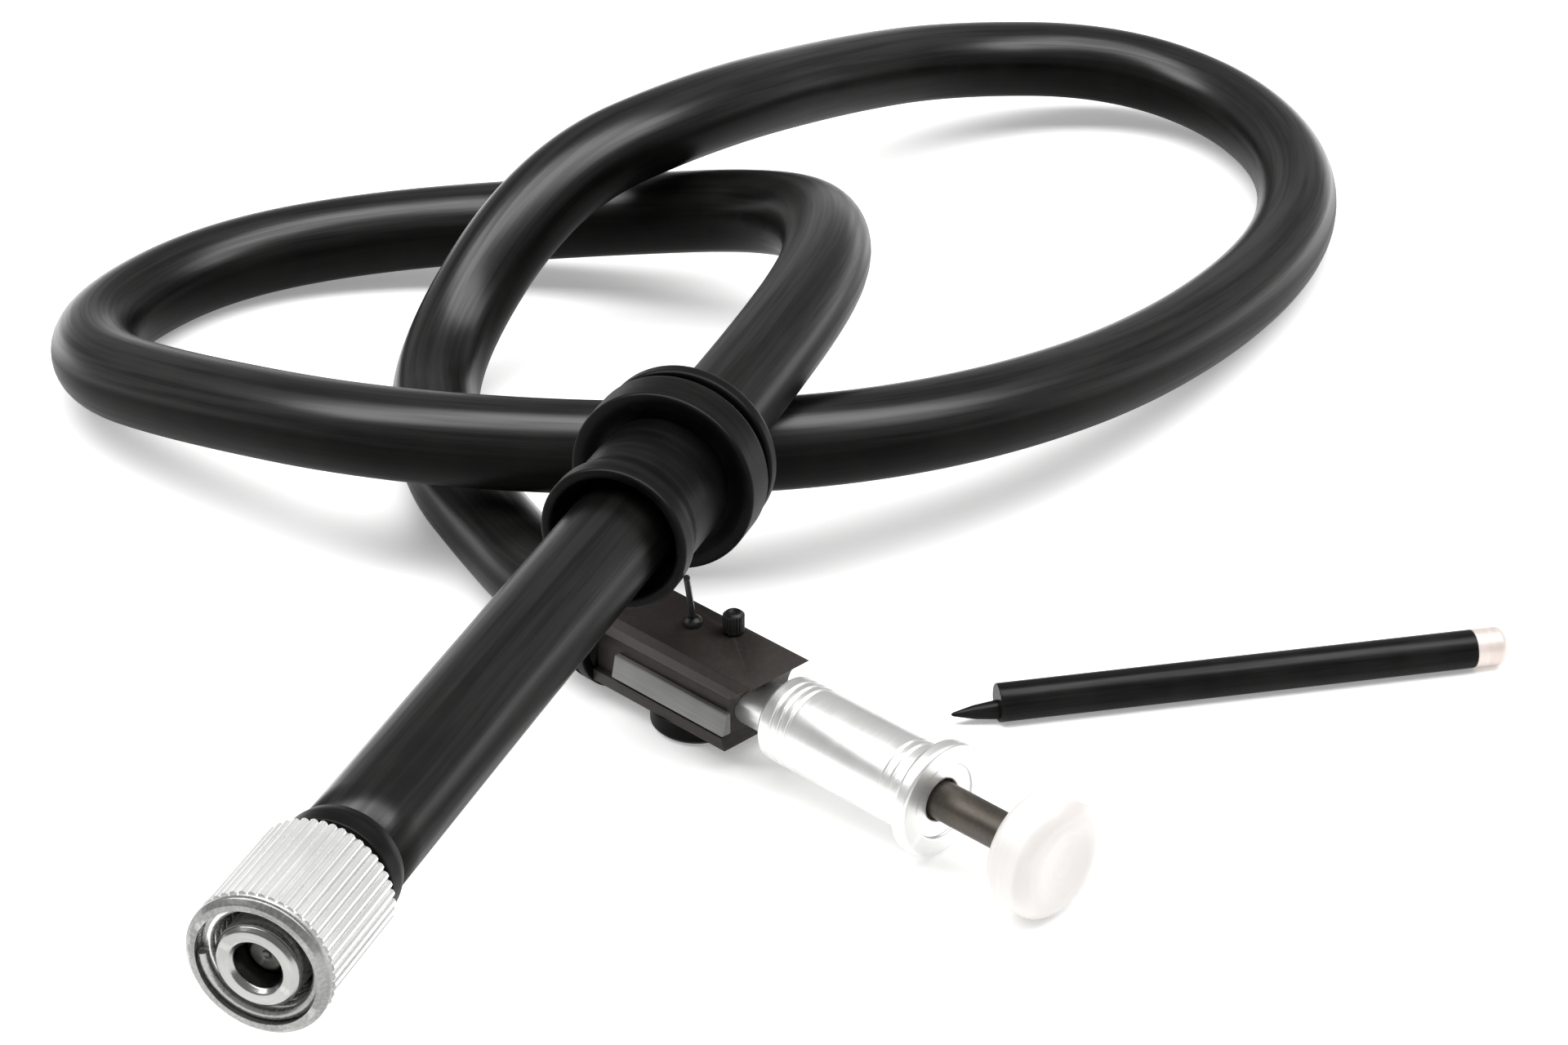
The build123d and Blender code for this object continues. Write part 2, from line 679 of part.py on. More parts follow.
with BuildPart() as button:
    with BuildSketch(meridian(HANDLE)):
        with BuildLine():
            Polyline(
                (button_seat, plunger_r + SEATED),
                (button_seat, BUTTON_D / 2 - BUTTON_CHAMFER),
                (button_seat + BUTTON_CHAMFER, BUTTON_D / 2),
                (button_seat + BUTTON_THICKNESS - BUTTON_DOME, BUTTON_D / 2),
                (button_seat + BUTTON_THICKNESS, BUTTON_D / 2 - 2 * BUTTON_DOME),
                (button_seat + BUTTON_THICKNESS, 0),
                (button_seat + BUTTON_SOCKET, 0),
                (button_seat + BUTTON_SOCKET, plunger_r + SEATED),
                close=True,
            )
        make_face()
    revolve(axis=turning_axis(HANDLE))
button.part.label = "button"
export_step(button.part, "parts/button.step")

# ---------------------------------------------------------------- spare pin, loose on the floor
spare_heading = Vector(1, 0, 0).rotate(Axis.Z, SPARE_TURN)
spare_x, spare_y = SPARE_PLACE
SPARE = Plane(origin=(spare_x, spare_y, SPARE_D / 2), x_dir=(0, 0, 1), z_dir=spare_heading)
NIB = Plane(origin=(spare_x, spare_y, NIB_D / 2 + NIB_LIFT), x_dir=(0, 0, 1), z_dir=spare_heading)
spare_stub_r = SPARE_STUB_D / 2
stub_end = SPARE_LENGTH + SPARE_CAP - SPARE_CAP_WALL

with BuildPart() as spare_pin:
    with BuildSketch(meridian(SPARE)):
        with BuildLine():
            Polyline(
                (0, 0),
                (0, SPARE_D / 2),
                (SPARE_LENGTH, SPARE_D / 2),
                (SPARE_LENGTH, spare_stub_r),
                (stub_end, spare_stub_r),
                (stub_end, 0),
                close=True,
            )
        make_face()
    revolve(axis=turning_axis(SPARE))
    with BuildSketch(meridian(NIB)):
        with BuildLine():
            Polyline(
                (NIB_ROOT, 0),
                (NIB_ROOT, NIB_D / 2),
                (0, NIB_D / 2),
                (-NIB_LENGTH, NIB_TIP_D / 2),
                (-NIB_LENGTH, 0),
                close=True,
            )
        make_face()
    revolve(axis=turning_axis(NIB))
spare_pin.part.label = "spare_pin"
export_step(spare_pin.part, "parts/spare_pin.step")

with BuildPart() as spare_pin_cap:
    with BuildSketch(meridian(SPARE)):
        with BuildLine():
            Polyline(
                (SPARE_LENGTH, SPARE_D / 2),
                (SPARE_LENGTH + SPARE_CAP - SPARE_CHAMFER, SPARE_D / 2),
                (SPARE_LENGTH + SPARE_CAP, SPARE_D / 2 - SPARE_CHAMFER),
                (SPARE_LENGTH + SPARE_CAP, 0),
                (stub_end, 0),
                (stub_end, spare_stub_r + SEATED),
                (SPARE_LENGTH, spare_stub_r + SEATED),
                close=True,
            )
        make_face()
    revolve(axis=turning_axis(SPARE))
spare_pin_cap.part.label = "spare_pin_cap"
export_step(spare_pin_cap.part, "parts/spare_pin_cap.step")

# ---------------------------------------------------------------- printout
print("bend radii, mm:", [round(radius, 1) for radius in BEND_RADII])
for name, solid, path, area in (
    ("sheath", sheath.part, sheath_path, math.pi * (SHEATH_D**2 - SHEATH_BORE_D**2) / 4),
    ("inner_wire", inner_wire.part, wire_path, math.pi * WIRE_D**2 / 4),
):
    length = sum(edge.length for edge in path.edges())
    print(name, "length, mm:", round(length, 1))
    print(name, "volume over section x length:", round(solid.volume / (area * length), 4))
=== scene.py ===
"""Cable shutter release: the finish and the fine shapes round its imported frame.

Each piece is built in millimetres in the frame of its own seat, gets a vector attribute with those
coordinates for its finish to follow, and is then set in its place in the row frame, in metres.
"""
import json
import logging
import math
from collections.abc import Sequence
from dataclasses import dataclass, field
from enum import Enum
from typing import Any, Optional, Union

import bmesh
import bpy
from mathutils import Matrix, Vector


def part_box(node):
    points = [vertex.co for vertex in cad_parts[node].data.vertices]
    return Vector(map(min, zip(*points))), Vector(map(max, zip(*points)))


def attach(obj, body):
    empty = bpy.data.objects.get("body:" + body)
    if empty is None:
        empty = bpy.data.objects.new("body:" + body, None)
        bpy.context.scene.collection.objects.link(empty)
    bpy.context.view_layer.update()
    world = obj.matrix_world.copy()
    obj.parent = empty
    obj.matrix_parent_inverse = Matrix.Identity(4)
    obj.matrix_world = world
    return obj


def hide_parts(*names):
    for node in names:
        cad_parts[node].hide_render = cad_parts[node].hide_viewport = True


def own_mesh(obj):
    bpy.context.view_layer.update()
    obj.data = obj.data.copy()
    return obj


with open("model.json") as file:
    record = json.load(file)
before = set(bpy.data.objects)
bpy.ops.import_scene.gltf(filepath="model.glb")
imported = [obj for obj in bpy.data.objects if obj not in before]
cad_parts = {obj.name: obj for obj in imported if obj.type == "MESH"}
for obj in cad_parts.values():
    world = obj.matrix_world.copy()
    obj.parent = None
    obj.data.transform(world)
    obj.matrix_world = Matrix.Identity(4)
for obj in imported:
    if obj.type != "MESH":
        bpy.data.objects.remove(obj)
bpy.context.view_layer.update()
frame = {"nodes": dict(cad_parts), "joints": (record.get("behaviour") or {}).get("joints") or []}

MM = 0.001
LIE = "lie"  # attribute: a point's place in the frame of its seat, in millimetres
UP = Vector((0.0, 0.0, 1.0))
WHITE = (1.0, 1.0, 1.0, 1.0)
MOTTLE_PITCH = 4.0  # millimetres between the light and dark patches of a finish
MOTTLE_GLOSS = 0.08  # how far they change the gloss
MOTTLE_WEAR, MARK_WEAR, EDGE_WEAR = 0.45, 0.35, 0.5  # what each adds to the worn colour
EDGE_SHARPNESS = (0.52, 0.60)  # the pointiness where wear on an edge starts and is full
RISE = (0.15, 0.6)  # the normal's height where the painted sheen on top starts and is full
SHEEN_STREAK_SHARE = 0.45  # the share of that painted sheen which the marks take away
FACE_SHADE_FADE = 0.1  # millimetres over which a front in painted shade fades out, each way
COLLAR_START = 5.2  # millimetres from the route's second point to the collar's mouth
SPARE_PLACE = (4.0, 16.1, 1.0)  # the loose pin's shoulder, in millimetres
SPARE_TURN = 12.0  # degrees from +X

LOG = logging.getLogger("cable_release")

Colour = tuple[float, float, float]
Outline = list[tuple[float, float]]
Settings = dict[str, Any]
Inputs = dict[Union[int, str], Any]
Piece = bpy.types.Object
Mesh = bpy.types.Mesh
Material = bpy.types.Material


class Body(str, Enum):
    """What a piece moves with."""

    ROOT = "root"
    NUT = "nut"
    PIN = "pin"
    PLUNGER = "plunger"
    LOCK = "lock"
    SPARE = "spare"


class Grain(Enum):
    """How the marks of making run over a surface: scales across, up and along its seat."""

    DRAWN = (1.0, 1.0, 0.03)
    TURNED = (0.1, 0.1, 1.0)
    MOULDED = (1.0, 1.0, 1.0)


class Source(Enum):
    """Where a finish reads its place from."""

    SEAT = "seat"
    OBJECT = "object"


def put(name: str, data: Any) -> Piece:
    """Makes an object of some data and puts it in the scene.

    Args:
        name: its name.
        data: a mesh, curve, camera or light.

    Returns:
        The object.
    """
    made = bpy.data.objects.new(name, data)
    bpy.context.scene.collection.objects.link(made)
    return made


# ---------------------------------------------------------------- node trees as expressions
class Socket:
    """An output of a node, with Python's operators as Math nodes."""

    def __init__(self, graph: "Graph", socket: bpy.types.NodeSocket) -> None:
        """Holds an output and the graph that it is in."""
        self.graph = graph
        self.socket = socket

    def output(self, name: str) -> "Socket":
        """Another output of the same node."""
        return Socket(self.graph, self.socket.node.outputs[name])

    def _math(self, operation: str, *terms: Any) -> "Socket":
        """Adds one Math node."""
        return self.graph.node("ShaderNodeMath", {"operation": operation}, dict(enumerate(terms)))

    def __add__(self, other: Any) -> "Socket":
        """self + other."""
        return self._math("ADD", self, other)

    __radd__ = __add__

    def __sub__(self, other: Any) -> "Socket":
        """self - other."""
        return self._math("SUBTRACT", self, other)

    def __rsub__(self, other: Any) -> "Socket":
        """other - self."""
        return self._math("SUBTRACT", other, self)

    def __mul__(self, other: Any) -> "Socket":
        """self * other."""
        return self._math("MULTIPLY", self, other)

    __rmul__ = __mul__

    def __pow__(self, other: Any) -> "Socket":
        """self ** other."""
        return self._math("POWER", self, other)

    def __abs__(self) -> "Socket":
        """The socket's value without its sign."""
        return self._math("ABSOLUTE", self)

    def ramp(self, low: float, high: float) -> "Socket":
        """0 below low, 1 above high, and a smooth step between them.

        Args:
            low: where the step starts.
            high: where it ends.

        Returns:
            The step.
        """
        return self.graph.node(
            "ShaderNodeMapRange",
            {"interpolation_type": "SMOOTHSTEP"},
            {"Value": self, "From Min": low, "From Max": high},
        )


class Graph:
    """A node tree that is written one expression at a time."""

    def __init__(self, tree: bpy.types.NodeTree) -> None:
        """Holds the tree."""
        self.tree = tree

    def node(
        self, kind: str, settings: Optional[Settings] = None, inputs: Optional[Inputs] = None
    ) -> Optional[Socket]:
        """Adds a node.

        Args:
            kind: the node's type.
            settings: its properties, which are set before its sockets are fed.
            inputs: values or links, by the name or number of the socket.

        Returns:
            The node's first output in use, or None if it has no output.
        """
        made = self.tree.nodes.new(kind)
        for name, value in (settings or {}).items():
            setattr(made, name, value)
        for key, value in (inputs or {}).items():
            if isinstance(value, Socket):
                self.tree.links.new(value.socket, made.inputs[key])
            else:
                made.inputs[key].default_value = value
        shown = [socket for socket in made.outputs if socket.enabled]
        return Socket(self, shown[0]) if shown else None


class Surface(Graph):
    """The shader tree of one material."""

    def __init__(self, material: Material) -> None:
        """Clears the material's tree and holds it."""
        material.use_nodes = True
        material.node_tree.nodes.clear()
        super().__init__(material.node_tree)

    def place(self, source: Source) -> Socket:
        """The point's place in millimetres, in its seat's frame or the row frame.

        Args:
            source: which frame it is read in.

        Returns:
            The place.
        """
        if source is Source.SEAT:
            return self.node("ShaderNodeAttribute", {"attribute_name": LIE}).output("Vector")
        where = self.node("ShaderNodeTexCoord").output("Object")
        return self.node(
            "ShaderNodeVectorMath", {"operation": "SCALE"}, {0: where, "Scale": 1.0 / MM}
        )

    def split(self, vector: Socket) -> tuple[Socket, Socket, Socket]:
        """The three parts of a vector."""
        x = self.node("ShaderNodeSeparateXYZ", None, {0: vector})
        return x, x.output("Y"), x.output("Z")

    def joined(self, x: Any, y: Any, z: Any) -> Socket:
        """A vector from three parts."""
        return self.node("ShaderNodeCombineXYZ", None, {0: x, 1: y, 2: z})

    def noise(self, vector: Socket, pitch: float, detail: float = 3.0) -> Socket:
        """Soft noise from 0 to 1 with features of about the pitch, in millimetres.

        Args:
            vector: where it is read.
            pitch: the size of its features.
            detail: how many finer layers it has.

        Returns:
            The noise.
        """
        return self.node(
            "ShaderNodeTexNoise",
            None,
            {"Vector": vector, "Scale": 1.0 / pitch, "Detail": detail, "Roughness": 0.6},
        )

    def mix(self, low: Any, high: Any, factor: Any) -> Socket:
        """One colour fading into another.

        Args:
            low: the colour at factor 0.
            high: the colour at factor 1.
            factor: how far it has faded.

        Returns:
            The mixed colour.
        """
        low, high = ((*c, 1.0) if isinstance(c, tuple) else c for c in (low, high))
        return self.node(
            "ShaderNodeMix", {"data_type": "RGBA"}, {"Factor": factor, 6: low, 7: high}
        )


class Maker(Graph):
    """A Geometry Nodes tree with named inputs, which grows the repeated part of a piece."""

    def __init__(self, name: str, sizes: dict[str, float]) -> None:
        """Makes the group and its inputs.

        Args:
            name: the group's name.
            sizes: each input's name and its value, whole numbers for counts.
        """
        super().__init__(bpy.data.node_groups.new(name, "GeometryNodeTree"))
        self.sizes = sizes
        face = self.tree.interface
        for key, value in sizes.items():
            kind = "NodeSocketInt" if isinstance(value, int) else "NodeSocketFloat"
            face.new_socket(key, in_out="INPUT", socket_type=kind)
        face.new_socket("Finish", in_out="INPUT", socket_type="NodeSocketMaterial")
        face.new_socket("Geometry", in_out="OUTPUT", socket_type="NodeSocketGeometry")
        self.inlet = self.tree.nodes.new("NodeGroupInput")

    def size(self, name: str) -> Socket:
        """One of the named inputs."""
        return Socket(self, self.inlet.outputs[name])

    def round_bar(self, line: Socket, radius: str) -> Socket:
        """A round bar along a curve, its radius one of the named inputs.

        Args:
            line: the curve.
            radius: the input's name.

        Returns:
            The bar.
        """
        circle = {"Resolution": 8, "Radius": self.size(radius)}
        section = self.node("GeometryNodeCurvePrimitiveCircle", None, circle)
        bar = {"Curve": line, "Profile Curve": section, "Fill Caps": True}
        return self.node("GeometryNodeCurveToMesh", None, bar)

    def grown(self, shape: Socket, material: Material) -> Mesh:
        """Ends the tree and evaluates it.

        Args:
            shape: the geometry that the tree has made.
            material: the finish of all of it.

        Returns:
            A plain mesh, in millimetres.
        """
        real = self.node("GeometryNodeRealizeInstances", None, {0: shape})
        smooth = self.node("GeometryNodeSetShadeSmooth", None, {0: real})
        dressed = self.node(
            "GeometryNodeSetMaterial", None, {0: smooth, "Material": self.size("Finish")}
        )
        self.node("NodeGroupOutput", None, {0: dressed})
        host = put(self.tree.name, bpy.data.meshes.new(self.tree.name))
        grow = host.modifiers.new("grow", "NODES")
        grow.node_group = self.tree
        values = {**self.sizes, "Finish": material}
        for item in self.tree.interface.items_tree:
            if item.in_out == "INPUT":
                grow[item.identifier] = values[item.name]
        seen = host.evaluated_get(bpy.context.evaluated_depsgraph_get())
        mesh = bpy.data.meshes.new_from_object(seen)
        bpy.data.objects.remove(host)
        return mesh


def ribs(sizes: dict[str, float], material: Material) -> Mesh:
    """Round ribs that run along a turned piece, evenly spaced about its axis.

    Args:
        sizes: Count, Ring (radius of the ribs' middles), Start, End and Rib (a rib's radius).
        material: the ribs' finish.

    Returns:
        The ribs as one mesh in the seat's frame.
    """
    maker = Maker("ribs", sizes)
    line = maker.node(
        "GeometryNodeCurvePrimitiveLine",
        None,
        {
            end: maker.node("ShaderNodeCombineXYZ", None, {2: maker.size(end)})
            for end in ("Start", "End")
        },
    )
    line = maker.node("GeometryNodeResampleCurve", None, {"Curve": line, "Count": 12})
    share = maker.node("GeometryNodeSplineParameter")
    from_middle = abs(share * 2.0 - 1.0)
    taper = 1.0 - 0.5 * from_middle**12.0
    line = maker.node("GeometryNodeSetCurveRadius", None, {"Curve": line, "Radius": taper})
    rib = maker.round_bar(line, "Rib")
    circle = {"Vertices": maker.size("Count"), "Radius": maker.size("Ring")}
    ring = maker.node("GeometryNodeMeshCircle", None, circle)
    spread = maker.node("GeometryNodeInstanceOnPoints", None, {"Points": ring, "Instance": rib})
    return maker.grown(spread, material)


def winding(sizes: dict[str, float], material: Material) -> Mesh:
    """A round wire or thread crest that winds about the seat's axis.

    Args:
        sizes: Turns, Ring (radius of the wire's middle), Height and Wire (the wire's radius).
        material: its finish.

    Returns:
        The winding as a mesh in the seat's frame, from along = 0.
    """
    maker = Maker("winding", sizes)
    coil = maker.node(
        "GeometryNodeCurveSpiral",
        None,
        {
            "Resolution": 40,
            "Rotations": maker.size("Turns"),
            "Start Radius": maker.size("Ring"),
            "End Radius": maker.size("Ring"),
            "Height": maker.size("Height"),
        },
    )
    return maker.grown(maker.round_bar(coil, "Wire"), material)


# ---------------------------------------------------------------- finishes
@dataclass(frozen=True)
class Finish:
    """A surface of the object: its colour, its gloss and the marks of its making."""

    name: str
    slot: str
    colour: Colour
    worn: Colour  # where it is rubbed, and in the light part of its mottle
    grain: Grain
    roughness: float
    metallic: float = 0.0
    coat: float = 0.0
    coat_roughness: float = 0.2
    top_sheen: float = 0.0  # painted sheen: extra coat only on the parts that face up, so the undersides stay dark as if shaded
    specular: float = 0.5
    mark_pitch: float = 0.2  # millimetres between the marks of making
    mark_gloss: float = 0.1  # how far the marks change the gloss
    mark_depth: float = 0.004  # millimetres
    pore_pitch: float = 0.12
    pore_depth: float = 0.003
    shaded_face_reach: float = 0.0  # millimetres from the seat's origin over which it gets painted shade
    # the colour of that painted shade
    face_shade: Colour = (0.3, 0.3, 0.3)

    def material(self, source: Source = Source.SEAT) -> Material:
        """Makes the finish, or finds it if it is made.

        Args:
            source: SEAT on pieces built here, and OBJECT on nodes kept from the frame.

        Returns:
            The material.
        """
        name = f"{self.name}_{source.value}"
        found = bpy.data.materials.get(name)
        if found:
            return found
        material = bpy.data.materials.new(name)
        material.diffuse_color = (*self.colour, 1.0)
        self._paint(Surface(material), source)
        return material

    def _paint(self, surface: Surface, source: Source) -> None:
        """Writes the shader tree.

        Args:
            surface: the material's tree.
            source: where the finish reads its place from.
        """
        place = surface.place(source)
        x, y, z = surface.split(place)
        across, up, along = self.grain.value
        reach = (x * x + y * y) ** 0.5 if self.grain is Grain.TURNED else 0.0
        run = surface.joined(x * across, y * up, z * along + reach)
        marks = surface.noise(run, self.mark_pitch)
        pores = surface.noise(place, self.pore_pitch, 2.0)
        mottle = surface.noise(place, MOTTLE_PITCH, 2.0)
        geometry = surface.node("ShaderNodeNewGeometry")
        edge = geometry.output("Pointiness").ramp(*EDGE_SHARPNESS) * EDGE_WEAR
        shade = mottle.ramp(0.35, 0.7) * MOTTLE_WEAR + marks.ramp(0.4, 0.75) * MARK_WEAR + edge
        colour = surface.mix(self.colour, self.worn, shade)
        # Painted shade: the front face, up to that reach from the seat's origin, is darkened as if it
        # faced away from the light.
        if self.shaded_face_reach:
            bright = z.ramp(self.shaded_face_reach - FACE_SHADE_FADE, self.shaded_face_reach + FACE_SHADE_FADE)
            face_shade = surface.mix(self.face_shade, self.colour, shade * 0.4)
            colour = surface.mix(face_shade, colour, bright)
        gloss = self.roughness + (marks - 0.5) * self.mark_gloss + (mottle - 0.5) * MOTTLE_GLOSS
        height = (marks - 0.5) * (self.mark_depth * MM) + (pores - 0.5) * (self.pore_depth * MM)
        normal = surface.node("ShaderNodeBump", None, {"Height": height, "Distance": 1.0})
        # Painted sheen and shade: the coat goes only where the normal faces up, so tops catch
        # highlights and undersides stay dark as if shaded.
        facing = surface.split(geometry.output("Normal"))[2]
        top_sheen_mask = facing.ramp(*RISE) * (marks.ramp(0.34, 0.64) * SHEEN_STREAK_SHARE + (1.0 - SHEEN_STREAK_SHARE))
        coat = top_sheen_mask * self.top_sheen + self.coat if self.top_sheen else self.coat
        shader = surface.node(
            "ShaderNodeBsdfPrincipled",
            None,
            {
                "Base Color": colour,
                "Roughness": gloss,
                "Metallic": self.metallic,
                "Coat Weight": coat,
                "Coat Roughness": self.coat_roughness,
                "Specular IOR Level": self.specular,
                "Normal": normal,
            },
        )
        surface.node("ShaderNodeOutputMaterial", None, {"Surface": shader})


# The black finishes below carry a painted sheen on their upper sides, with their undersides left dark
# as if shaded.
RUBBER = Finish(
    "sheath_rubber", "rubber_black", (0.0015, 0.0015, 0.0014), (0.006, 0.006, 0.0054), Grain.DRAWN,
    roughness=0.36, coat_roughness=0.3, top_sheen=1.0, specular=0.04,
    mark_pitch=0.5, mark_gloss=0.32, mark_depth=0.02,
)
MOULDING = Finish(
    "moulded_rubber", "moulded_black", (0.0015, 0.0015, 0.0015), (0.007, 0.007, 0.0066), Grain.TURNED,
    roughness=0.42, coat_roughness=0.34, top_sheen=0.28, specular=0.06,
    mark_pitch=0.5, mark_gloss=0.12, mark_depth=0.006, pore_depth=0.006,
)
NUT_METAL = Finish(
    "nut_metal", "nut_silver", (0.80, 0.80, 0.79), (0.92, 0.92, 0.91), Grain.DRAWN,
    roughness=0.28, metallic=0.7, mark_pitch=0.16, mark_gloss=0.12, mark_depth=0.003,
    # Painted shade on the nut's front face.
    shaded_face_reach=0.5, face_shade=(0.18, 0.18, 0.176),
)
NOZZLE_METAL = Finish(
    "nozzle_metal", "nozzle_steel", (0.30, 0.30, 0.293), (0.42, 0.42, 0.41), Grain.TURNED,
    roughness=0.24, metallic=1.0, mark_pitch=0.08, mark_gloss=0.16, mark_depth=0.003,
)
PIN_METAL = Finish(
    "pin_metal", "pin_steel", (0.05, 0.05, 0.047), (0.12, 0.12, 0.11), Grain.TURNED,
    roughness=0.35, metallic=1.0, mark_pitch=0.1,
)
HOUSING_PLASTIC = Finish(
    "housing_plastic", "housing_grey", (0.021, 0.018, 0.016), (0.042, 0.035, 0.032), Grain.MOULDED,
    roughness=0.55, specular=0.25, mark_pitch=0.25, pore_depth=0.008,
)
# Painted highlight: the side strip's pale grey stands in for the highlight stripe along the glossy
# housing.
STRIP_HIGHLIGHT = Finish(
    "strip_painted_highlight", "strip_grey", (0.115, 0.115, 0.108), (0.20, 0.20, 0.19), Grain.DRAWN,
    roughness=0.42, mark_pitch=0.12, mark_gloss=0.2,
)
BARREL_METAL = Finish(
    "barrel_metal", "barrel_silver", (0.82, 0.82, 0.81), (0.92, 0.92, 0.91), Grain.TURNED,
    roughness=0.34, metallic=0.85, mark_pitch=0.12, mark_gloss=0.12, mark_depth=0.002,
)
PLUNGER_METAL = Finish(
    "plunger_metal", "plunger_dark", (0.03, 0.026, 0.021), (0.075, 0.064, 0.053), Grain.DRAWN,
    roughness=0.4, metallic=0.6, mark_pitch=0.15,
)
BUTTON_PLASTIC = Finish(
    "button_plastic", "button_pale", (0.62, 0.59, 0.57), (0.70, 0.675, 0.66), Grain.TURNED,
    roughness=0.32, coat=0.3, mark_pitch=0.3, mark_gloss=0.06,
)
SPARE_BLACK = Finish(
    "spare_black_finish", "spare_black", (0.003, 0.0032, 0.003), (0.012, 0.0125, 0.0115), Grain.DRAWN,
    roughness=0.3, coat_roughness=0.3, top_sheen=0.3, specular=0.05,
    mark_pitch=0.22, mark_gloss=0.22, mark_depth=0.008,
)
SPARE_TIP = Finish(
    "spare_tip_finish", "spare_tip", (0.60, 0.52, 0.48), (0.76, 0.69, 0.65), Grain.TURNED,
    roughness=0.4, metallic=0.3,
)
SCREW_BLACK = Finish(
    "screw_black_finish", "screw_black", (0.014, 0.014, 0.014), (0.05, 0.05, 0.05), Grain.TURNED,
    roughness=0.4, metallic=0.4, mark_pitch=0.1,
)
BRASS = Finish(
    "inner_brass", "brass_inner", (0.48, 0.34, 0.14), (0.66, 0.50, 0.25), Grain.MOULDED,
    roughness=0.35, metallic=1.0,
)
SPRING_METAL = Finish(
    "spring_metal", "spring_steel", (0.40, 0.40, 0.41), (0.56, 0.56, 0.57), Grain.MOULDED,
    roughness=0.3, metallic=1.0,
)
TETHER_METAL = Finish(
    "tether_metal", "spring_steel", (0.012, 0.013, 0.015), (0.04, 0.042, 0.046), Grain.MOULDED,
    roughness=0.32, metallic=0.7,
)

# Nodes that keep their own mesh: most of them lie inside the others.
KEPT_NODES: dict[str, Finish] = {
    "front_ferrule": NOZZLE_METAL,
    "nut_washer": SPRING_METAL,
    "rear_ferrule": BRASS,
    "guide_bush": BRASS,
    "stop_collar": BRASS,
    "foot_screw": SCREW_BLACK,
    "plunger": PLUNGER_METAL,
    "tether_wire": TETHER_METAL,
}


# ---------------------------------------------------------------- seats and turned shapes
@dataclass(frozen=True)
class Seat:
    """Where a piece sits: a point, the way its axis runs and the way its upper side faces."""

    origin: Vector  # metres
    axis: Vector
    up: Vector = field(default_factory=lambda: UP.copy())

    def matrix(self) -> Matrix:
        """From millimetres (across, up, along) in the seat's frame to metres in the row frame.

        Returns:
            The matrix.
        """
        axis = self.axis.normalized()
        across = self.up.cross(axis).normalized()
        turn = Matrix((across, axis.cross(across), axis)).transposed().to_4x4()
        return Matrix.Translation(self.origin) @ turn @ Matrix.Scale(MM, 4)


def standing(node: str) -> Seat:
    """An upright seat under the middle of a node's box.

    Args:
        node: the CAD node.

    Returns:
        The seat.
    """
    low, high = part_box(node)
    middle = (low + high) / 2
    return Seat(Vector((middle.x, middle.y, low.z)), UP, Vector((0.0, 1.0, 0.0)))


def softened(outline: Outline, radius: float, closed: bool) -> Outline:
    """Rounds the corners of an outline, and holds each rounding with a point on both sides.

    Args:
        outline: points of (along, reach), in millimetres.
        radius: how far from a corner its rounding starts, where its sides leave room.
        closed: whether the last point joins the first.

    Returns:
        The rounded outline.
    """
    points = [Vector(point) for point in outline]
    count = len(points)
    out: Outline = []
    for i, here in enumerate(points):
        if not closed and i in (0, count - 1):
            out.append((here.x, here.y))
            continue
        back = points[i - 1] - here
        on = points[(i + 1) % count] - here
        cut = min(radius, 0.4 * back.length, 0.4 * on.length)
        start = here + back.normalized() * cut
        end = here + on.normalized() * cut
        held = min(1.25 * cut, cut + 0.03)
        run = [here + back.normalized() * held]
        for step in range(5):
            s = step / 4
            run.append((1 - s) ** 2 * start + 2 * s * (1 - s) * here + s**2 * end)
        run.append(here + on.normalized() * held)
        out += [(point.x, point.y) for point in run]
    return out


def turned(outline: Outline, closed: bool = True, soft: float = 0.1, sides: int = 96) -> Mesh:
    """Turns an outline about the seat's axis.

    Args:
        outline: points of (along, reach), in millimetres. One that isn't closed starts and ends
            on the axis.
        closed: whether the outline is a loop beside the axis.
        soft: size of the rounding at each corner.
        sides: number of facets about the axis.

    Returns:
        The mesh in the seat's frame, its faces outwards.
    """
    shape = bmesh.new()
    rings = []
    for along, reach in softened(outline, soft, closed):
        if reach < 1e-6:
            rings.append([shape.verts.new((0.0, 0.0, along))] * sides)
            continue
        angles = [math.tau * k / sides for k in range(sides)]
        places = [(reach * math.cos(a), reach * math.sin(a), along) for a in angles]
        rings.append([shape.verts.new(place) for place in places])
    pairs = list(zip(rings, rings[1:])) + ([(rings[-1], rings[0])] if closed else [])
    for near, far in pairs:
        for k in range(sides):
            after = (k + 1) % sides
            corners = list(dict.fromkeys([near[k], near[after], far[after], far[k]]))
            if len(corners) > 2:
                shape.faces.new(corners)
    return closed_mesh(shape)


def closed_mesh(shape: bmesh.types.BMesh) -> Mesh:
    """Turns the faces of a closed shape outwards, smooths them and frees the bmesh.

    Args:
        shape: the shape, which is freed.

    Returns:
        Its mesh.
    """
    bmesh.ops.recalc_face_normals(shape, faces=shape.faces)
    for face in shape.faces:
        face.smooth = True
    mesh = bpy.data.meshes.new("shape")
    shape.to_mesh(mesh)
    shape.free()
    return mesh


def joined(meshes: Sequence[Mesh]) -> Mesh:
    """One mesh that holds all of these, in one frame.

    Args:
        meshes: the meshes, in one frame.

    Returns:
        The whole mesh.
    """
    shape = bmesh.new()
    for mesh in meshes:
        shape.from_mesh(mesh)
    for face in shape.faces:
        face.material_index = 0
    whole = bpy.data.meshes.new("shape")
    shape.to_mesh(whole)
    shape.free()
    return whole


def shifted(mesh: Mesh, up: float = 0.0, along: float = 0.0) -> Mesh:
    """Moves a mesh in its seat's frame, in millimetres."""
    mesh.transform(Matrix.Translation((0.0, up, along)))
    return mesh


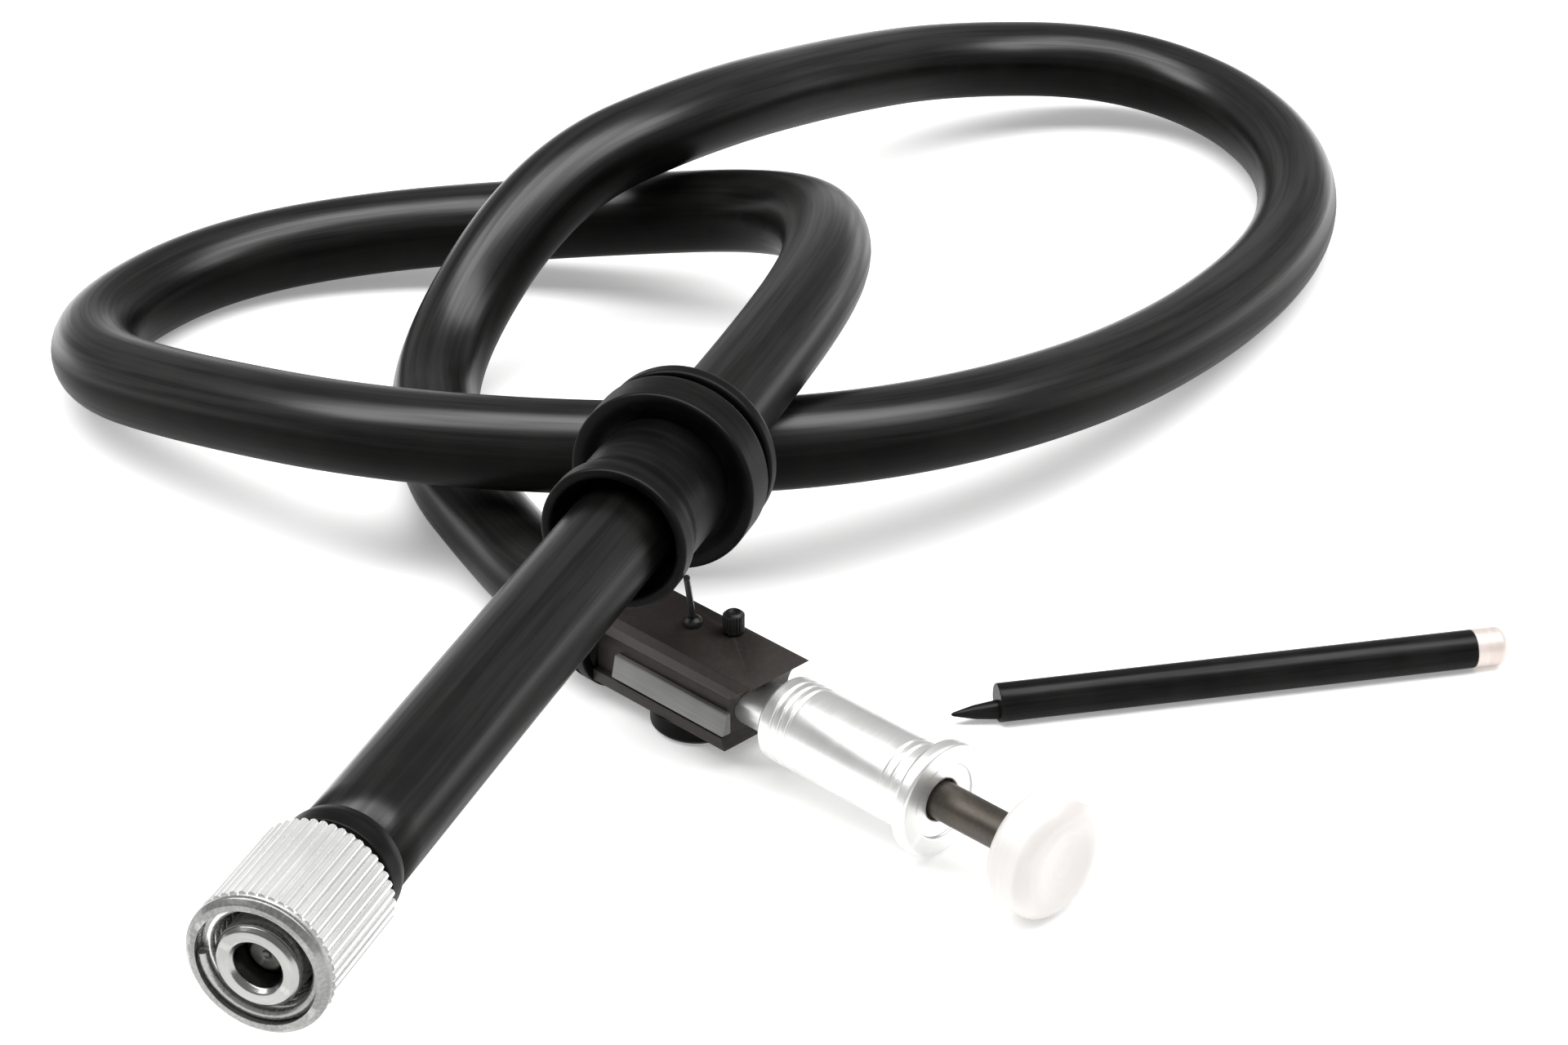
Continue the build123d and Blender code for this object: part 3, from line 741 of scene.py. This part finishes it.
def marked(mesh: Mesh, places: Sequence[Vector]) -> None:
    """Writes each vertex's place in its seat, in millimetres, for the finish to follow."""
    layer = mesh.attributes.new(LIE, "FLOAT_VECTOR", "POINT")
    layer.data.foreach_set("vector", [part for place in places for part in place])


def seated(name: str, mesh: Mesh, seat: Seat) -> Piece:
    """Makes a piece from a mesh in a seat's frame.

    Args:
        name: the piece's name.
        mesh: its mesh, in millimetres.
        seat: where it sits.

    Returns:
        The piece, with its object at the origin and its place in its mesh.
    """
    marked(mesh, [vertex.co.copy() for vertex in mesh.vertices])
    mesh.transform(seat.matrix())
    mesh.name = name
    return put(name, mesh)


def copied(node: str, name: str, seat: Seat, width: float) -> Piece:
    """A piece with the shape of a CAD node, its facets merged and its edges rounded.

    Args:
        node: the CAD node.
        name: the new piece's name.
        seat: the frame that its finish follows.
        width: how wide its edges are rounded, in millimetres.

    Returns:
        The piece.
    """
    shape = bmesh.new()
    shape.from_mesh(frame["nodes"][node].data)
    bmesh.ops.remove_doubles(shape, verts=shape.verts, dist=0.001 * MM)
    bmesh.ops.dissolve_limit(
        shape, angle_limit=math.radians(1.0), verts=shape.verts, edges=shape.edges
    )
    corner = math.radians(30)
    sharp = [e for e in shape.edges if e.is_manifold and e.calc_face_angle(0.0) > corner]
    rounding = {"segments": 3, "profile": 0.5, "affect": "EDGES", "clamp_overlap": True}
    bmesh.ops.bevel(shape, geom=sharp, offset=width * MM, **rounding)
    mesh = closed_mesh(shape)
    mesh.set_sharp_from_angle(angle=math.radians(50))
    back = seat.matrix().inverted()
    marked(mesh, [back @ vertex.co for vertex in mesh.vertices])
    mesh.name = name
    return put(name, mesh)


def dressed(piece: Piece, finish: Finish, body: Body, *nodes: str) -> Piece:
    """Gives a piece its finish and its body, and puts it in the place of the nodes.

    Args:
        piece: the piece.
        finish: its finish.
        body: what it moves with.
        nodes: the CAD nodes that it stands for.

    Returns:
        The piece.
    """
    piece.data.materials.clear()
    piece.data.materials.append(finish.material())
    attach(piece, body.value)
    if nodes:
        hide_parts(*nodes)
    return piece


# ---------------------------------------------------------------- the cable
# The cable's points, from the camera end to the operating end, in millimetres.
ROUTE = [
    (-25.2, -16.4, 13.0), (-16.7, 6.6, 13.0), (-5.7, 35.6, 13.0), (-3.7, 49.1, 11.5),
    (-6.7, 61.6, 7.5), (-18.2, 67.1, 4.5), (-32.2, 68.1, 3.0), (-41.7, 64.6, 2.5),
    (-47.2, 56.6, 2.5), (-46.7, 48.6, 3.5), (-41.2, 42.1, 5.0), (-27.2, 31.1, 8.0),
    (-10.7, 29.6, 8.0), (2.8, 35.6, 6.5), (14.8, 48.6, 4.0), (24.3, 65.1, 2.5), (26.8, 78.1, 2.5),
    (23.3, 88.6, 3.0), (15.3, 93.6, 4.0), (4.3, 90.1, 5.5), (-3.2, 81.1, 8.0),
    (-11.7, 67.1, 11.5), (-20.7, 59.1, 10.5), (-27.2, 51.1, 2.5), (-25.7, 38.6, 2.5),
    (-22.2, 31.1, 2.5), (-18.7, 23.6, 3.1), (-14.7, 19.6, 3.1),
]


@dataclass
class Cable:
    """The rubber-sheathed cable, a tube along one smooth line."""

    diameter: float = 5.0
    length: float = 360.9
    sides: int = 40
    line: list[Vector] = field(default_factory=list)

    def build(self) -> Piece:
        """Returns:
            The piece.
        """
        self.line = self._spline()
        piece = self._tube()
        dressed(piece, RUBBER, Body.ROOT, "sheath", "liner", "inner_wire")
        return piece

    def _spline(self) -> list[Vector]:
        """Points of the NURBS spline that has the route's points as its control points, in metres.

        Returns:
            The points.
        """
        curve = bpy.data.curves.new("cable_line", "CURVE")
        curve.dimensions = "3D"
        curve.resolution_u = 14
        spline = curve.splines.new("NURBS")
        spline.points.add(len(ROUTE) - 1)
        for point, place in zip(spline.points, ROUTE):
            point.co = (*(part * MM for part in place), 1.0)
        spline.order_u = 3
        spline.use_endpoint_u = True
        holder = put("cable_line", curve)
        seen = holder.evaluated_get(bpy.context.evaluated_depsgraph_get())
        mesh = bpy.data.meshes.new_from_object(seen)
        line = [vertex.co.copy() for vertex in mesh.vertices]
        bpy.data.objects.remove(holder)
        bpy.data.curves.remove(curve)
        bpy.data.meshes.remove(mesh)
        return line

    def _tube(self) -> Piece:
        """The tube round the line, both of its ends closed.

        Returns:
            The piece.
        """
        shape = bmesh.new()
        places: list[Vector] = []
        rings = []
        travelled = 0.0
        side = UP.copy()
        last = len(self.line) - 1
        for i, here in enumerate(self.line):
            before, after = self.line[max(i - 1, 0)], self.line[min(i + 1, last)]
            heading = (after - before).normalized()
            travelled += (here - before).length / MM
            side = (side - side.dot(heading) * heading).normalized()
            other = heading.cross(side)
            ring = []
            for k in range(self.sides):
                angle = math.tau * k / self.sides
                out = side * math.cos(angle) + other * math.sin(angle)
                ring.append(shape.verts.new(here + out * (self.diameter / 2 * MM)))
                reach = self.diameter / 2
                places.append(Vector((reach * math.cos(angle), reach * math.sin(angle), travelled)))
            rings.append(ring)
        for near, far in zip(rings, rings[1:]):
            for k in range(self.sides):
                after = (k + 1) % self.sides
                shape.faces.new((near[k], near[after], far[after], far[k]))
        for ring in (rings[0], rings[-1]):
            shape.faces.new(ring)
        mesh = closed_mesh(shape)
        marked(mesh, places)
        return put("cable", mesh)


# ---------------------------------------------------------------- camera end
@dataclass
class CameraEnd:
    """Knurled coupling nut, nozzle, push pin and the band at the sheath's end."""

    seat: Seat
    nut_reach: float = 3.25
    nut_length: float = 6.5
    recess_reach: float = 2.75
    recess_depth: float = 4.6
    nozzle_reach: float = 1.9
    bore_reach: float = 1.05
    pin_reach: float = 1.0
    pin_setback: float = 1.0
    pin_length: float = 7.0
    sheath_front: float = 6.8
    sheath_reach: float = 2.5
    band_reach: float = 2.75
    band_length: float = 1.4
    knurls: int = 46
    knurl_rib: float = 0.19
    crest: float = 0.25  # radius of the thread's crest
    crest_turns: float = 5.0
    crest_start: float = 0.38
    crest_run: float = 2.45

    def build(self) -> list[Piece]:
        """Makes the four pieces of the camera end."""
        return [self._nut(), self._nozzle(), self._pin(), self._band()]

    def _nut(self) -> Piece:
        """The nut: a turned shell, knurled outside and threaded inside.

        Returns:
            The piece.
        """
        metal = NUT_METAL.material()
        reach, length = self.nut_reach, self.nut_length
        core = reach - 0.17
        lip = self.nozzle_reach + 0.05
        shell = turned(
            [
                (0.0, self.recess_reach - 0.1), (0.0, reach - 0.3), (0.22, reach - 0.06),
                (0.42, reach - 0.06), (0.52, core - 0.12), (0.72, core), (length - 0.5, core),
                (length - 0.3, core - 0.1), (length, core - 0.3), (length, lip),
                (self.recess_depth, lip), (self.recess_depth, self.recess_reach),
                (0.15, self.recess_reach),
            ],
            soft=0.06,
            sides=138,
        )
        knurl_sizes = {
            "Count": self.knurls,
            "Ring": reach - self.knurl_rib,
            "Start": 0.62,
            "End": length - 0.42,
            "Rib": self.knurl_rib,
        }
        crest_sizes = {
            "Turns": self.crest_turns,
            "Ring": self.recess_reach - self.crest,
            "Height": self.crest_run,
            "Wire": self.crest,
        }
        knurl = ribs(knurl_sizes, metal)
        thread = shifted(winding(crest_sizes, metal), along=self.crest_start)
        piece = seated("knurled_nut", joined([shell, knurl, thread]), self.seat)
        return dressed(piece, NUT_METAL, Body.NUT, "coupling_nut")

    def _nozzle(self) -> Piece:
        """The nozzle inside the nut.

        Returns:
            The piece.
        """
        tip, foot = 3.2, 4.2
        mesh = turned(
            [
                (0.0, self.bore_reach + 0.2), (0.0, self.nozzle_reach - 0.2),
                (0.2, self.nozzle_reach), (tip, self.nozzle_reach),
                (tip, self.recess_reach - 0.05), (foot, self.recess_reach - 0.05),
                (foot, self.bore_reach), (0.25, self.bore_reach),
            ],
            soft=0.07,
        )
        return dressed(seated("nozzle_tube", mesh, self.seat), NOZZLE_METAL, Body.ROOT, "nozzle")

    def _pin(self) -> Piece:
        """The push pin inside the nozzle, with a small centre mark in its face.

        Returns:
            The piece.
        """
        start, end = self.pin_setback, self.pin_setback + self.pin_length
        mesh = turned(
            [
                (start + 0.12, 0.0), (start, 0.22), (start, self.pin_reach - 0.3),
                (start + 0.3, self.pin_reach), (end, self.pin_reach), (end, 0.0),
            ],
            closed=False,
            soft=0.06,
            sides=64,
        )
        return dressed(seated("release_pin", mesh, self.seat), PIN_METAL, Body.PIN, "push_pin")

    def _band(self) -> Piece:
        """The rubber band round the sheath's end.

        Returns:
            The piece.
        """
        start, end = self.sheath_front, self.sheath_front + self.band_length
        inner = self.sheath_reach + 0.02
        mesh = turned(
            [
                (start, inner), (start, self.band_reach), (start + 0.9, self.band_reach),
                (end, inner + 0.08), (end, inner),
            ],
            soft=0.16,
        )
        return dressed(seated("end_band", mesh, self.seat), MOULDING, Body.ROOT, "sheath_band")


# ---------------------------------------------------------------- grommet
@dataclass
class PanelGrommet:
    """The bell-mouthed collar and the grooved grommet behind it."""

    seat: Seat
    grip_reach: float = 2.55
    bell_reach: float = 3.25
    bell_depth: float = 2.6
    lip_reach: float = 3.75
    collar_reach: float = 3.4
    collar_length: float = 6.5
    disc_reach: float = 4.8
    disc: float = 1.8
    groove_reach: float = 3.6
    groove: float = 0.7
    ring_reach: float = 4.65
    ring: float = 1.2
    dish: float = 0.4

    def build(self) -> list[Piece]:
        """Makes the collar and the grommet."""
        return [self._collar(), self._grommet()]

    def _collar(self) -> Piece:
        """The collar, open like a bell at its mouth.

        Returns:
            The piece.
        """
        mesh = turned(
            [
                (0.0, self.bell_reach), (0.0, self.lip_reach), (1.1, self.lip_reach),
                (2.2, self.collar_reach), (self.collar_length, self.collar_reach),
                (self.collar_length, self.grip_reach), (self.bell_depth, self.grip_reach),
            ],
            soft=0.24,
        )
        piece = seated("bell_collar", mesh, self.seat)
        return dressed(piece, MOULDING, Body.ROOT, "grommet_collar")

    def _grommet(self) -> Piece:
        """The dished disc, the panel groove and the ring behind it.

        Returns:
            The piece.
        """
        start = self.collar_length
        groove = start + self.disc
        ring = groove + self.groove
        end = ring + self.ring
        mesh = turned(
            [
                (start, self.grip_reach), (start, self.collar_reach + 0.2),
                (start - self.dish, self.disc_reach - 0.5), (start - self.dish, self.disc_reach),
                (groove, self.disc_reach), (groove, self.groove_reach), (ring, self.groove_reach),
                (ring, self.ring_reach), (end - 0.4, self.ring_reach),
                (end, self.ring_reach - 0.4), (end, self.grip_reach),
            ],
            soft=0.22,
            sides=128,
        )
        return dressed(seated("panel_grommet", mesh, self.seat), MOULDING, Body.ROOT, "grommet")


# ---------------------------------------------------------------- operating end
@dataclass
class Handle:
    """The housing and what is on it."""

    seat: Seat
    boot_reach: float = 3.05
    nose_reach: float = 2.85
    boot_length: float = 3.0
    boot_bore: float = 2.55
    foot_reach: float = 2.4
    foot_height: float = 1.2
    stud_reach: float = 0.5
    stud_height: float = 0.5
    knob_reach: float = 0.55
    knob_height: float = 1.1
    knob_ribs: int = 22
    knob_rib: float = 0.06
    strip_tuck: float = 1.6  # how far the strip's rear end is drawn forward
    strip_lift: float = 0.3  # how far its lower edge is drawn up

    def build(self) -> list[Piece]:
        """Makes the six pieces.

        Returns:
            The pieces.
        """
        housing = copied("housing", "grip_housing", self.seat, 0.12)
        # The strip's pale finish paints the housing's highlight stripe.
        strip = copied("side_strip", "highlight_strip", self.seat, 0.08)
        self._tuck(strip.data)
        return [
            dressed(housing, HOUSING_PLASTIC, Body.ROOT, "housing"),
            dressed(strip, STRIP_HIGHLIGHT, Body.ROOT, "side_strip"),
            self._boot(),
            self._foot(),
            self._stud(),
            self._knob(),
        ]

    def _tuck(self, mesh: Mesh) -> None:
        """Draws the strip's rear end forward and its lower edge up, within its groove.

        Args:
            mesh: the strip's mesh.
        """
        forward = self.seat.axis.normalized() * (self.strip_tuck * MM)
        upward = UP * (self.strip_lift * MM)
        heights = [vertex.co.z for vertex in mesh.vertices]
        middle = (min(heights) + max(heights)) / 2
        for vertex, place in zip(mesh.vertices, mesh.attributes[LIE].data):
            if vertex.co.z < middle:
                vertex.co += upward
                place.vector.y += self.strip_lift
            if place.vector.z < self.strip_tuck:
                vertex.co += forward
                place.vector.z += self.strip_tuck

    def _boot(self) -> Piece:
        """The ribbed boot where the cable goes in.

        Returns:
            The piece.
        """
        outline = [(-self.boot_length, self.boot_bore), (-self.boot_length, self.nose_reach)]
        grooves, pitch = 3, 0.7
        for groove in range(grooves):
            start = -self.boot_length + 0.5 + groove * pitch
            reach = self.nose_reach + (self.boot_reach - self.nose_reach) * (groove + 1) / grooves
            outline += [(start, reach), (start + 0.1, reach - 0.16)]
            outline += [(start + 0.25, reach - 0.16), (start + 0.35, reach)]
        outline += [(0.0, self.boot_reach), (0.0, self.boot_bore)]
        piece = seated("ribbed_boot", turned(outline, soft=0.09), self.seat)
        return dressed(piece, MOULDING, Body.ROOT, "cable_boot")

    def _foot(self) -> Piece:
        """The round foot, open under its screw's head.

        Returns:
            The piece.
        """
        head = 1.15
        mesh = turned(
            [
                (0.0, head), (0.0, self.foot_reach - 0.3), (0.3, self.foot_reach),
                (self.foot_height, self.foot_reach), (self.foot_height, 0.62), (0.6, 0.62),
                (0.6, head),
            ],
            soft=0.08,
        )
        return dressed(seated("round_foot", mesh, standing("foot")), MOULDING, Body.ROOT, "foot")

    def _stud(self) -> Piece:
        """The domed stud that the tether ends in.

        Returns:
            The piece.
        """
        mesh = turned(
            [
                (0.0, 0.0), (0.0, self.stud_reach), (self.stud_height * 0.6, self.stud_reach),
                (self.stud_height, self.stud_reach * 0.5), (self.stud_height, 0.0),
            ],
            closed=False,
            sides=48,
        )
        piece = seated("domed_stud", mesh, standing("tether_stud"))
        return dressed(piece, SCREW_BLACK, Body.ROOT, "tether_stud")

    def _knob(self) -> Piece:
        """The lock screw: a ribbed knob on its thread.

        Returns:
            The piece.
        """
        low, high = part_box("lock_screw")
        top = (high.z - low.z) / MM
        under = top - self.knob_height
        core = self.knob_reach - 0.05
        body = turned(
            [
                (0.0, 0.0), (0.0, 0.3), (0.1, 0.4), (under, 0.4), (under, core),
                (top - 0.12, core), (top, core - 0.12), (top, 0.25), (top - 0.1, 0.18),
                (top - 0.1, 0.0),
            ],
            closed=False,
            soft=0.04,
            sides=48,
        )
        sizes = {
            "Count": self.knob_ribs,
            "Ring": self.knob_reach - self.knob_rib,
            "Start": under + 0.08,
            "End": top - 0.14,
            "Rib": self.knob_rib,
        }
        knurl = ribs(sizes, SCREW_BLACK.material())
        piece = seated("lock_knob", joined([body, knurl]), standing("lock_screw"))
        return dressed(piece, SCREW_BLACK, Body.LOCK, "lock_screw")


@dataclass
class Plunger:
    """The barrel with its finger flange and its spring, and the button on the plunger."""

    seat: Seat
    neck: tuple[float, float] = (8.0, 11.4)
    neck_reach: float = 1.3
    barrel_reach: float = 2.2
    barrel_end: float = 21.2
    chamber_reach: float = 1.75
    flange_reach: float = 2.9
    flange: float = 0.8
    flange_bore: float = 1.05
    button_start: float = 27.0
    button: float = 2.6
    button_reach: float = 3.0
    socket_reach: float = 0.97
    socket: float = 1.6
    coil_reach: float = 1.6
    coil_wire: float = 0.18
    coil_turns: float = 6.0

    def build(self) -> list[Piece]:
        """Makes the four pieces."""
        return [self._barrel(), self._flange(), self._button(), self._coil()]

    def _coil(self) -> Piece:
        """The return spring, a fixed coil.

        Returns:
            The piece.
        """
        seat = self.seat.matrix()
        back = seat.inverted()
        along = [(back @ vertex.co).z for vertex in frame["nodes"]["return_spring"].data.vertices]
        start, length = min(along), max(along) - min(along)
        sizes = {
            "Turns": self.coil_turns,
            "Ring": self.coil_reach - self.coil_wire,
            "Height": length - 2 * self.coil_wire,
            "Wire": self.coil_wire,
        }
        coil = winding(sizes, SPRING_METAL.material())
        piece = seated("coil_spring", shifted(coil, along=start + self.coil_wire), self.seat)
        dressed(piece, SPRING_METAL, Body.ROOT, "return_spring")
        press = joint("plunger_press")
        stroke = press["range_m"][1] / MM
        1.0 - stroke / length
        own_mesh(piece)
        return piece

    def _barrel(self) -> Piece:
        """The barrel, with fine grooves at both of its ends.

        Returns:
            The piece.
        """
        start, shoulder = self.neck
        reach, end = self.barrel_reach, self.barrel_end
        outline = [
            (start, 0.48), (start, self.neck_reach), (shoulder, self.neck_reach),
            (shoulder, reach - 0.3), (shoulder + 0.3, reach),
        ]
        for groove in (shoulder + 0.9, shoulder + 1.4, shoulder + 1.9, end - 1.6, end - 1.1):
            outline += [(groove, reach), (groove + 0.06, reach - 0.08)]
            outline += [(groove + 0.16, reach - 0.08), (groove + 0.22, reach)]
        outline += [
            (end, reach), (end, self.chamber_reach), (shoulder + 0.5, self.chamber_reach),
            (shoulder + 0.5, 0.48),
        ]
        mesh = turned(outline, soft=0.06)
        return dressed(seated("turned_barrel", mesh, self.seat), BARREL_METAL, Body.ROOT, "barrel")

    def _flange(self) -> Piece:
        """The thin disc that the fingers pull against.

        Returns:
            The piece.
        """
        start, end = self.barrel_end, self.barrel_end + self.flange
        mesh = turned(
            [
                (start, self.flange_bore), (start, self.flange_reach), (end, self.flange_reach),
                (end, self.flange_bore + 0.9), (end - 0.12, self.flange_bore + 0.8),
                (end - 0.12, self.flange_bore),
            ],
            soft=0.2,
            sides=128,
        )
        piece = seated("finger_disc", mesh, self.seat)
        return dressed(piece, BARREL_METAL, Body.ROOT, "finger_flange")

    def _button(self) -> Piece:
        """The button, dished for a thumb.

        Returns:
            The piece.
        """
        start, end = self.button_start, self.button_start + self.button
        mesh = turned(
            [
                (start + self.socket, 0.0), (start + self.socket, self.socket_reach),
                (start, self.socket_reach), (start, self.button_reach - 0.4),
                (start + 0.4, self.button_reach), (end - 0.6, self.button_reach),
                (end - 0.15, self.button_reach - 0.5), (end, self.button_reach - 1.1),
                (end - 0.18, 0.9), (end - 0.24, 0.0),
            ],
            closed=False,
            soft=0.3,
        )
        piece = seated("thumb_button", mesh, self.seat)
        return dressed(piece, BUTTON_PLASTIC, Body.PLUNGER, "button")


@dataclass
class SparePin:
    """The loose pin that lies beside the cable."""

    seat: Seat
    reach: float = 1.0
    length: float = 25.2
    stub_reach: float = 0.6
    cap: float = 1.7
    nib_reach: float = 0.5
    nib_length: float = 2.4
    nib_drop: float = 0.4

    def build(self) -> list[Piece]:
        """Makes the pin and its cap.

        Returns:
            The pieces.
        """
        stub = self.length + self.cap - 0.5
        rod = turned(
            [
                (0.0, 0.0), (0.0, self.reach), (self.length, self.reach),
                (self.length, self.stub_reach), (stub, self.stub_reach), (stub, 0.0),
            ],
            closed=False,
            soft=0.07,
            sides=64,
        )
        nib = turned(
            [
                (-self.nib_length, 0.0), (-self.nib_length * 0.96, 0.1),
                (-self.nib_length * 0.5, 0.36), (0.0, self.nib_reach), (1.0, self.nib_reach),
                (1.0, 0.0),
            ],
            closed=False,
            soft=0.12,
            sides=48,
        )
        pin = seated("spare_rod", joined([rod, shifted(nib, up=-self.nib_drop)]), self.seat)
        tip = seated("spare_cap", self._cap(stub, self.length + self.cap), self.seat)
        return [
            dressed(pin, SPARE_BLACK, Body.SPARE, "spare_pin"),
            dressed(tip, SPARE_TIP, Body.SPARE, "spare_pin_cap"),
        ]

    def _cap(self, stub: float, end: float) -> Mesh:
        """The cap, a cup over the pin's stub.

        Args:
            stub: where the pin's stub ends.
            end: where the cap ends.

        Returns:
            The cap's mesh.
        """
        bore = self.stub_reach + 0.02
        return turned(
            [
                (stub, 0.0), (stub, bore), (self.length, bore), (self.length, self.reach),
                (end - 0.3, self.reach), (end, self.reach - 0.3), (end, 0.0),
            ],
            closed=False,
            soft=0.1,
            sides=64,
        )


# ---------------------------------------------------------------- stage
@dataclass
class Studio:
    """The pale floor, the soft overhead light and the camera."""

    floor_size: float = 4.0
    floor_colour: Colour = (0.93, 0.93, 0.925)
    floor_glow: float = 0.28  # keeps the shadows pale
    sky: float = 0.34
    light_place: tuple[float, float, float] = (-0.01, 0.01, 0.50)
    light_target: tuple[float, float, float] = (-0.01, 0.04, 0.0)
    light_sides: tuple[float, float] = (1.4, 0.32)
    light_power: float = 7.4  # watts
    camera_place: tuple[float, float, float] = (-0.0067, -0.1414, 0.09975)
    camera_pitch: float = 60.7  # degrees from straight down
    lens: float = 85.0
    sensor: float = 36.0

    def build(self) -> None:
        """Makes the camera, the floor, the light and the pale surroundings."""
        self._camera()
        self._floor()
        self._light()
        world = bpy.data.worlds.new("studio")
        world.use_nodes = True
        sky = world.node_tree.nodes["Background"]
        sky.inputs["Color"].default_value = WHITE
        sky.inputs["Strength"].default_value = self.sky
        bpy.context.scene.world = world
        bpy.context.scene.view_settings.view_transform = "Standard"

    def _camera(self) -> None:
        """The camera, looking down along +Y."""
        data = bpy.data.cameras.new("camera")
        data.lens = self.lens
        data.sensor_width = self.sensor
        data.clip_start = 0.01
        camera = put("camera", data)
        camera.location = self.camera_place
        camera.rotation_euler = (math.radians(self.camera_pitch), 0.0, 0.0)
        bpy.context.scene.camera = camera

    def _floor(self) -> None:
        """A plain pale floor."""
        half = self.floor_size / 2
        mesh = bpy.data.meshes.new("floor")
        corners = [(-half, -half, 0), (half, -half, 0), (half, half, 0), (-half, half, 0)]
        mesh.from_pydata(corners, [], [(0, 1, 2, 3)])
        floor = put("floor", mesh)
        material = bpy.data.materials.new("floor")
        surface = Surface(material)
        shader = surface.node(
            "ShaderNodeBsdfPrincipled",
            None,
            {
                "Base Color": (*self.floor_colour, 1.0),
                "Roughness": 0.8,
                "Specular IOR Level": 0.1,
                "Emission Color": WHITE,
                "Emission Strength": self.floor_glow,
            },
        )
        surface.node("ShaderNodeOutputMaterial", None, {"Surface": shader})
        mesh.materials.append(material)

    def _light(self) -> None:
        """A long soft light that hangs over the object."""
        data = bpy.data.lights.new("key", "AREA")
        data.shape = "RECTANGLE"
        data.size, data.size_y = self.light_sides
        data.energy = self.light_power
        light = put("key", data)
        light.location = self.light_place
        aim = Vector(self.light_target) - Vector(self.light_place)
        light.rotation_euler = aim.to_track_quat("-Z", "Y").to_euler()


# ---------------------------------------------------------------- the whole object
def joint(name: str) -> dict[str, Any]:
    """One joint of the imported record."""
    return next(entry for entry in frame["joints"] if entry["name"] == name)


def seats() -> dict[str, Seat]:
    """The four frames that the pieces share, from the record's joints and the cable's route.

    Returns:
        Each seat by its name.
    """
    points = [Vector(point) * MM for point in ROUTE]
    nut = joint("nut_turn")
    heading = (points[2] - points[1]).normalized()
    turn = math.radians(SPARE_TURN)
    spare_heading = Vector((math.cos(turn), math.sin(turn), 0.0))
    return {
        "camera_end": Seat(Vector(nut["pos_m"]), Vector(nut["axis"])),
        "grommet": Seat(points[1] + heading * (COLLAR_START * MM), heading),
        "handle": Seat(points[-1], -Vector(joint("plunger_press")["axis"])),
        "spare": Seat(Vector(SPARE_PLACE) * MM, spare_heading),
    }


def dress_kept_nodes() -> None:
    """Gives a finish to each node that keeps its own mesh."""
    for node, finish in KEPT_NODES.items():
        materials = frame["nodes"][node].data.materials
        materials.clear()
        materials.append(finish.material(Source.OBJECT))
        LOG.info("%s: kept, %s", node, finish.name)


def main() -> None:
    """Builds the object's sub-assemblies in order."""
    logging.basicConfig(level=logging.INFO, format="%(name)s %(message)s")
    Studio().build()
    cable = Cable().build()
    LOG.info("%s: %d faces", cable.name, len(cable.data.polygons))
    at = seats()
    assemblies = [
        CameraEnd(at["camera_end"]),
        PanelGrommet(at["grommet"]),
        Handle(at["handle"]),
        Plunger(at["handle"]),
        SparePin(at["spare"]),
    ]
    for assembly in assemblies:
        for piece in assembly.build():
            LOG.info("%s: %d faces", piece.name, len(piece.data.polygons))
    dress_kept_nodes()


if __name__ == "__main__":
    main()
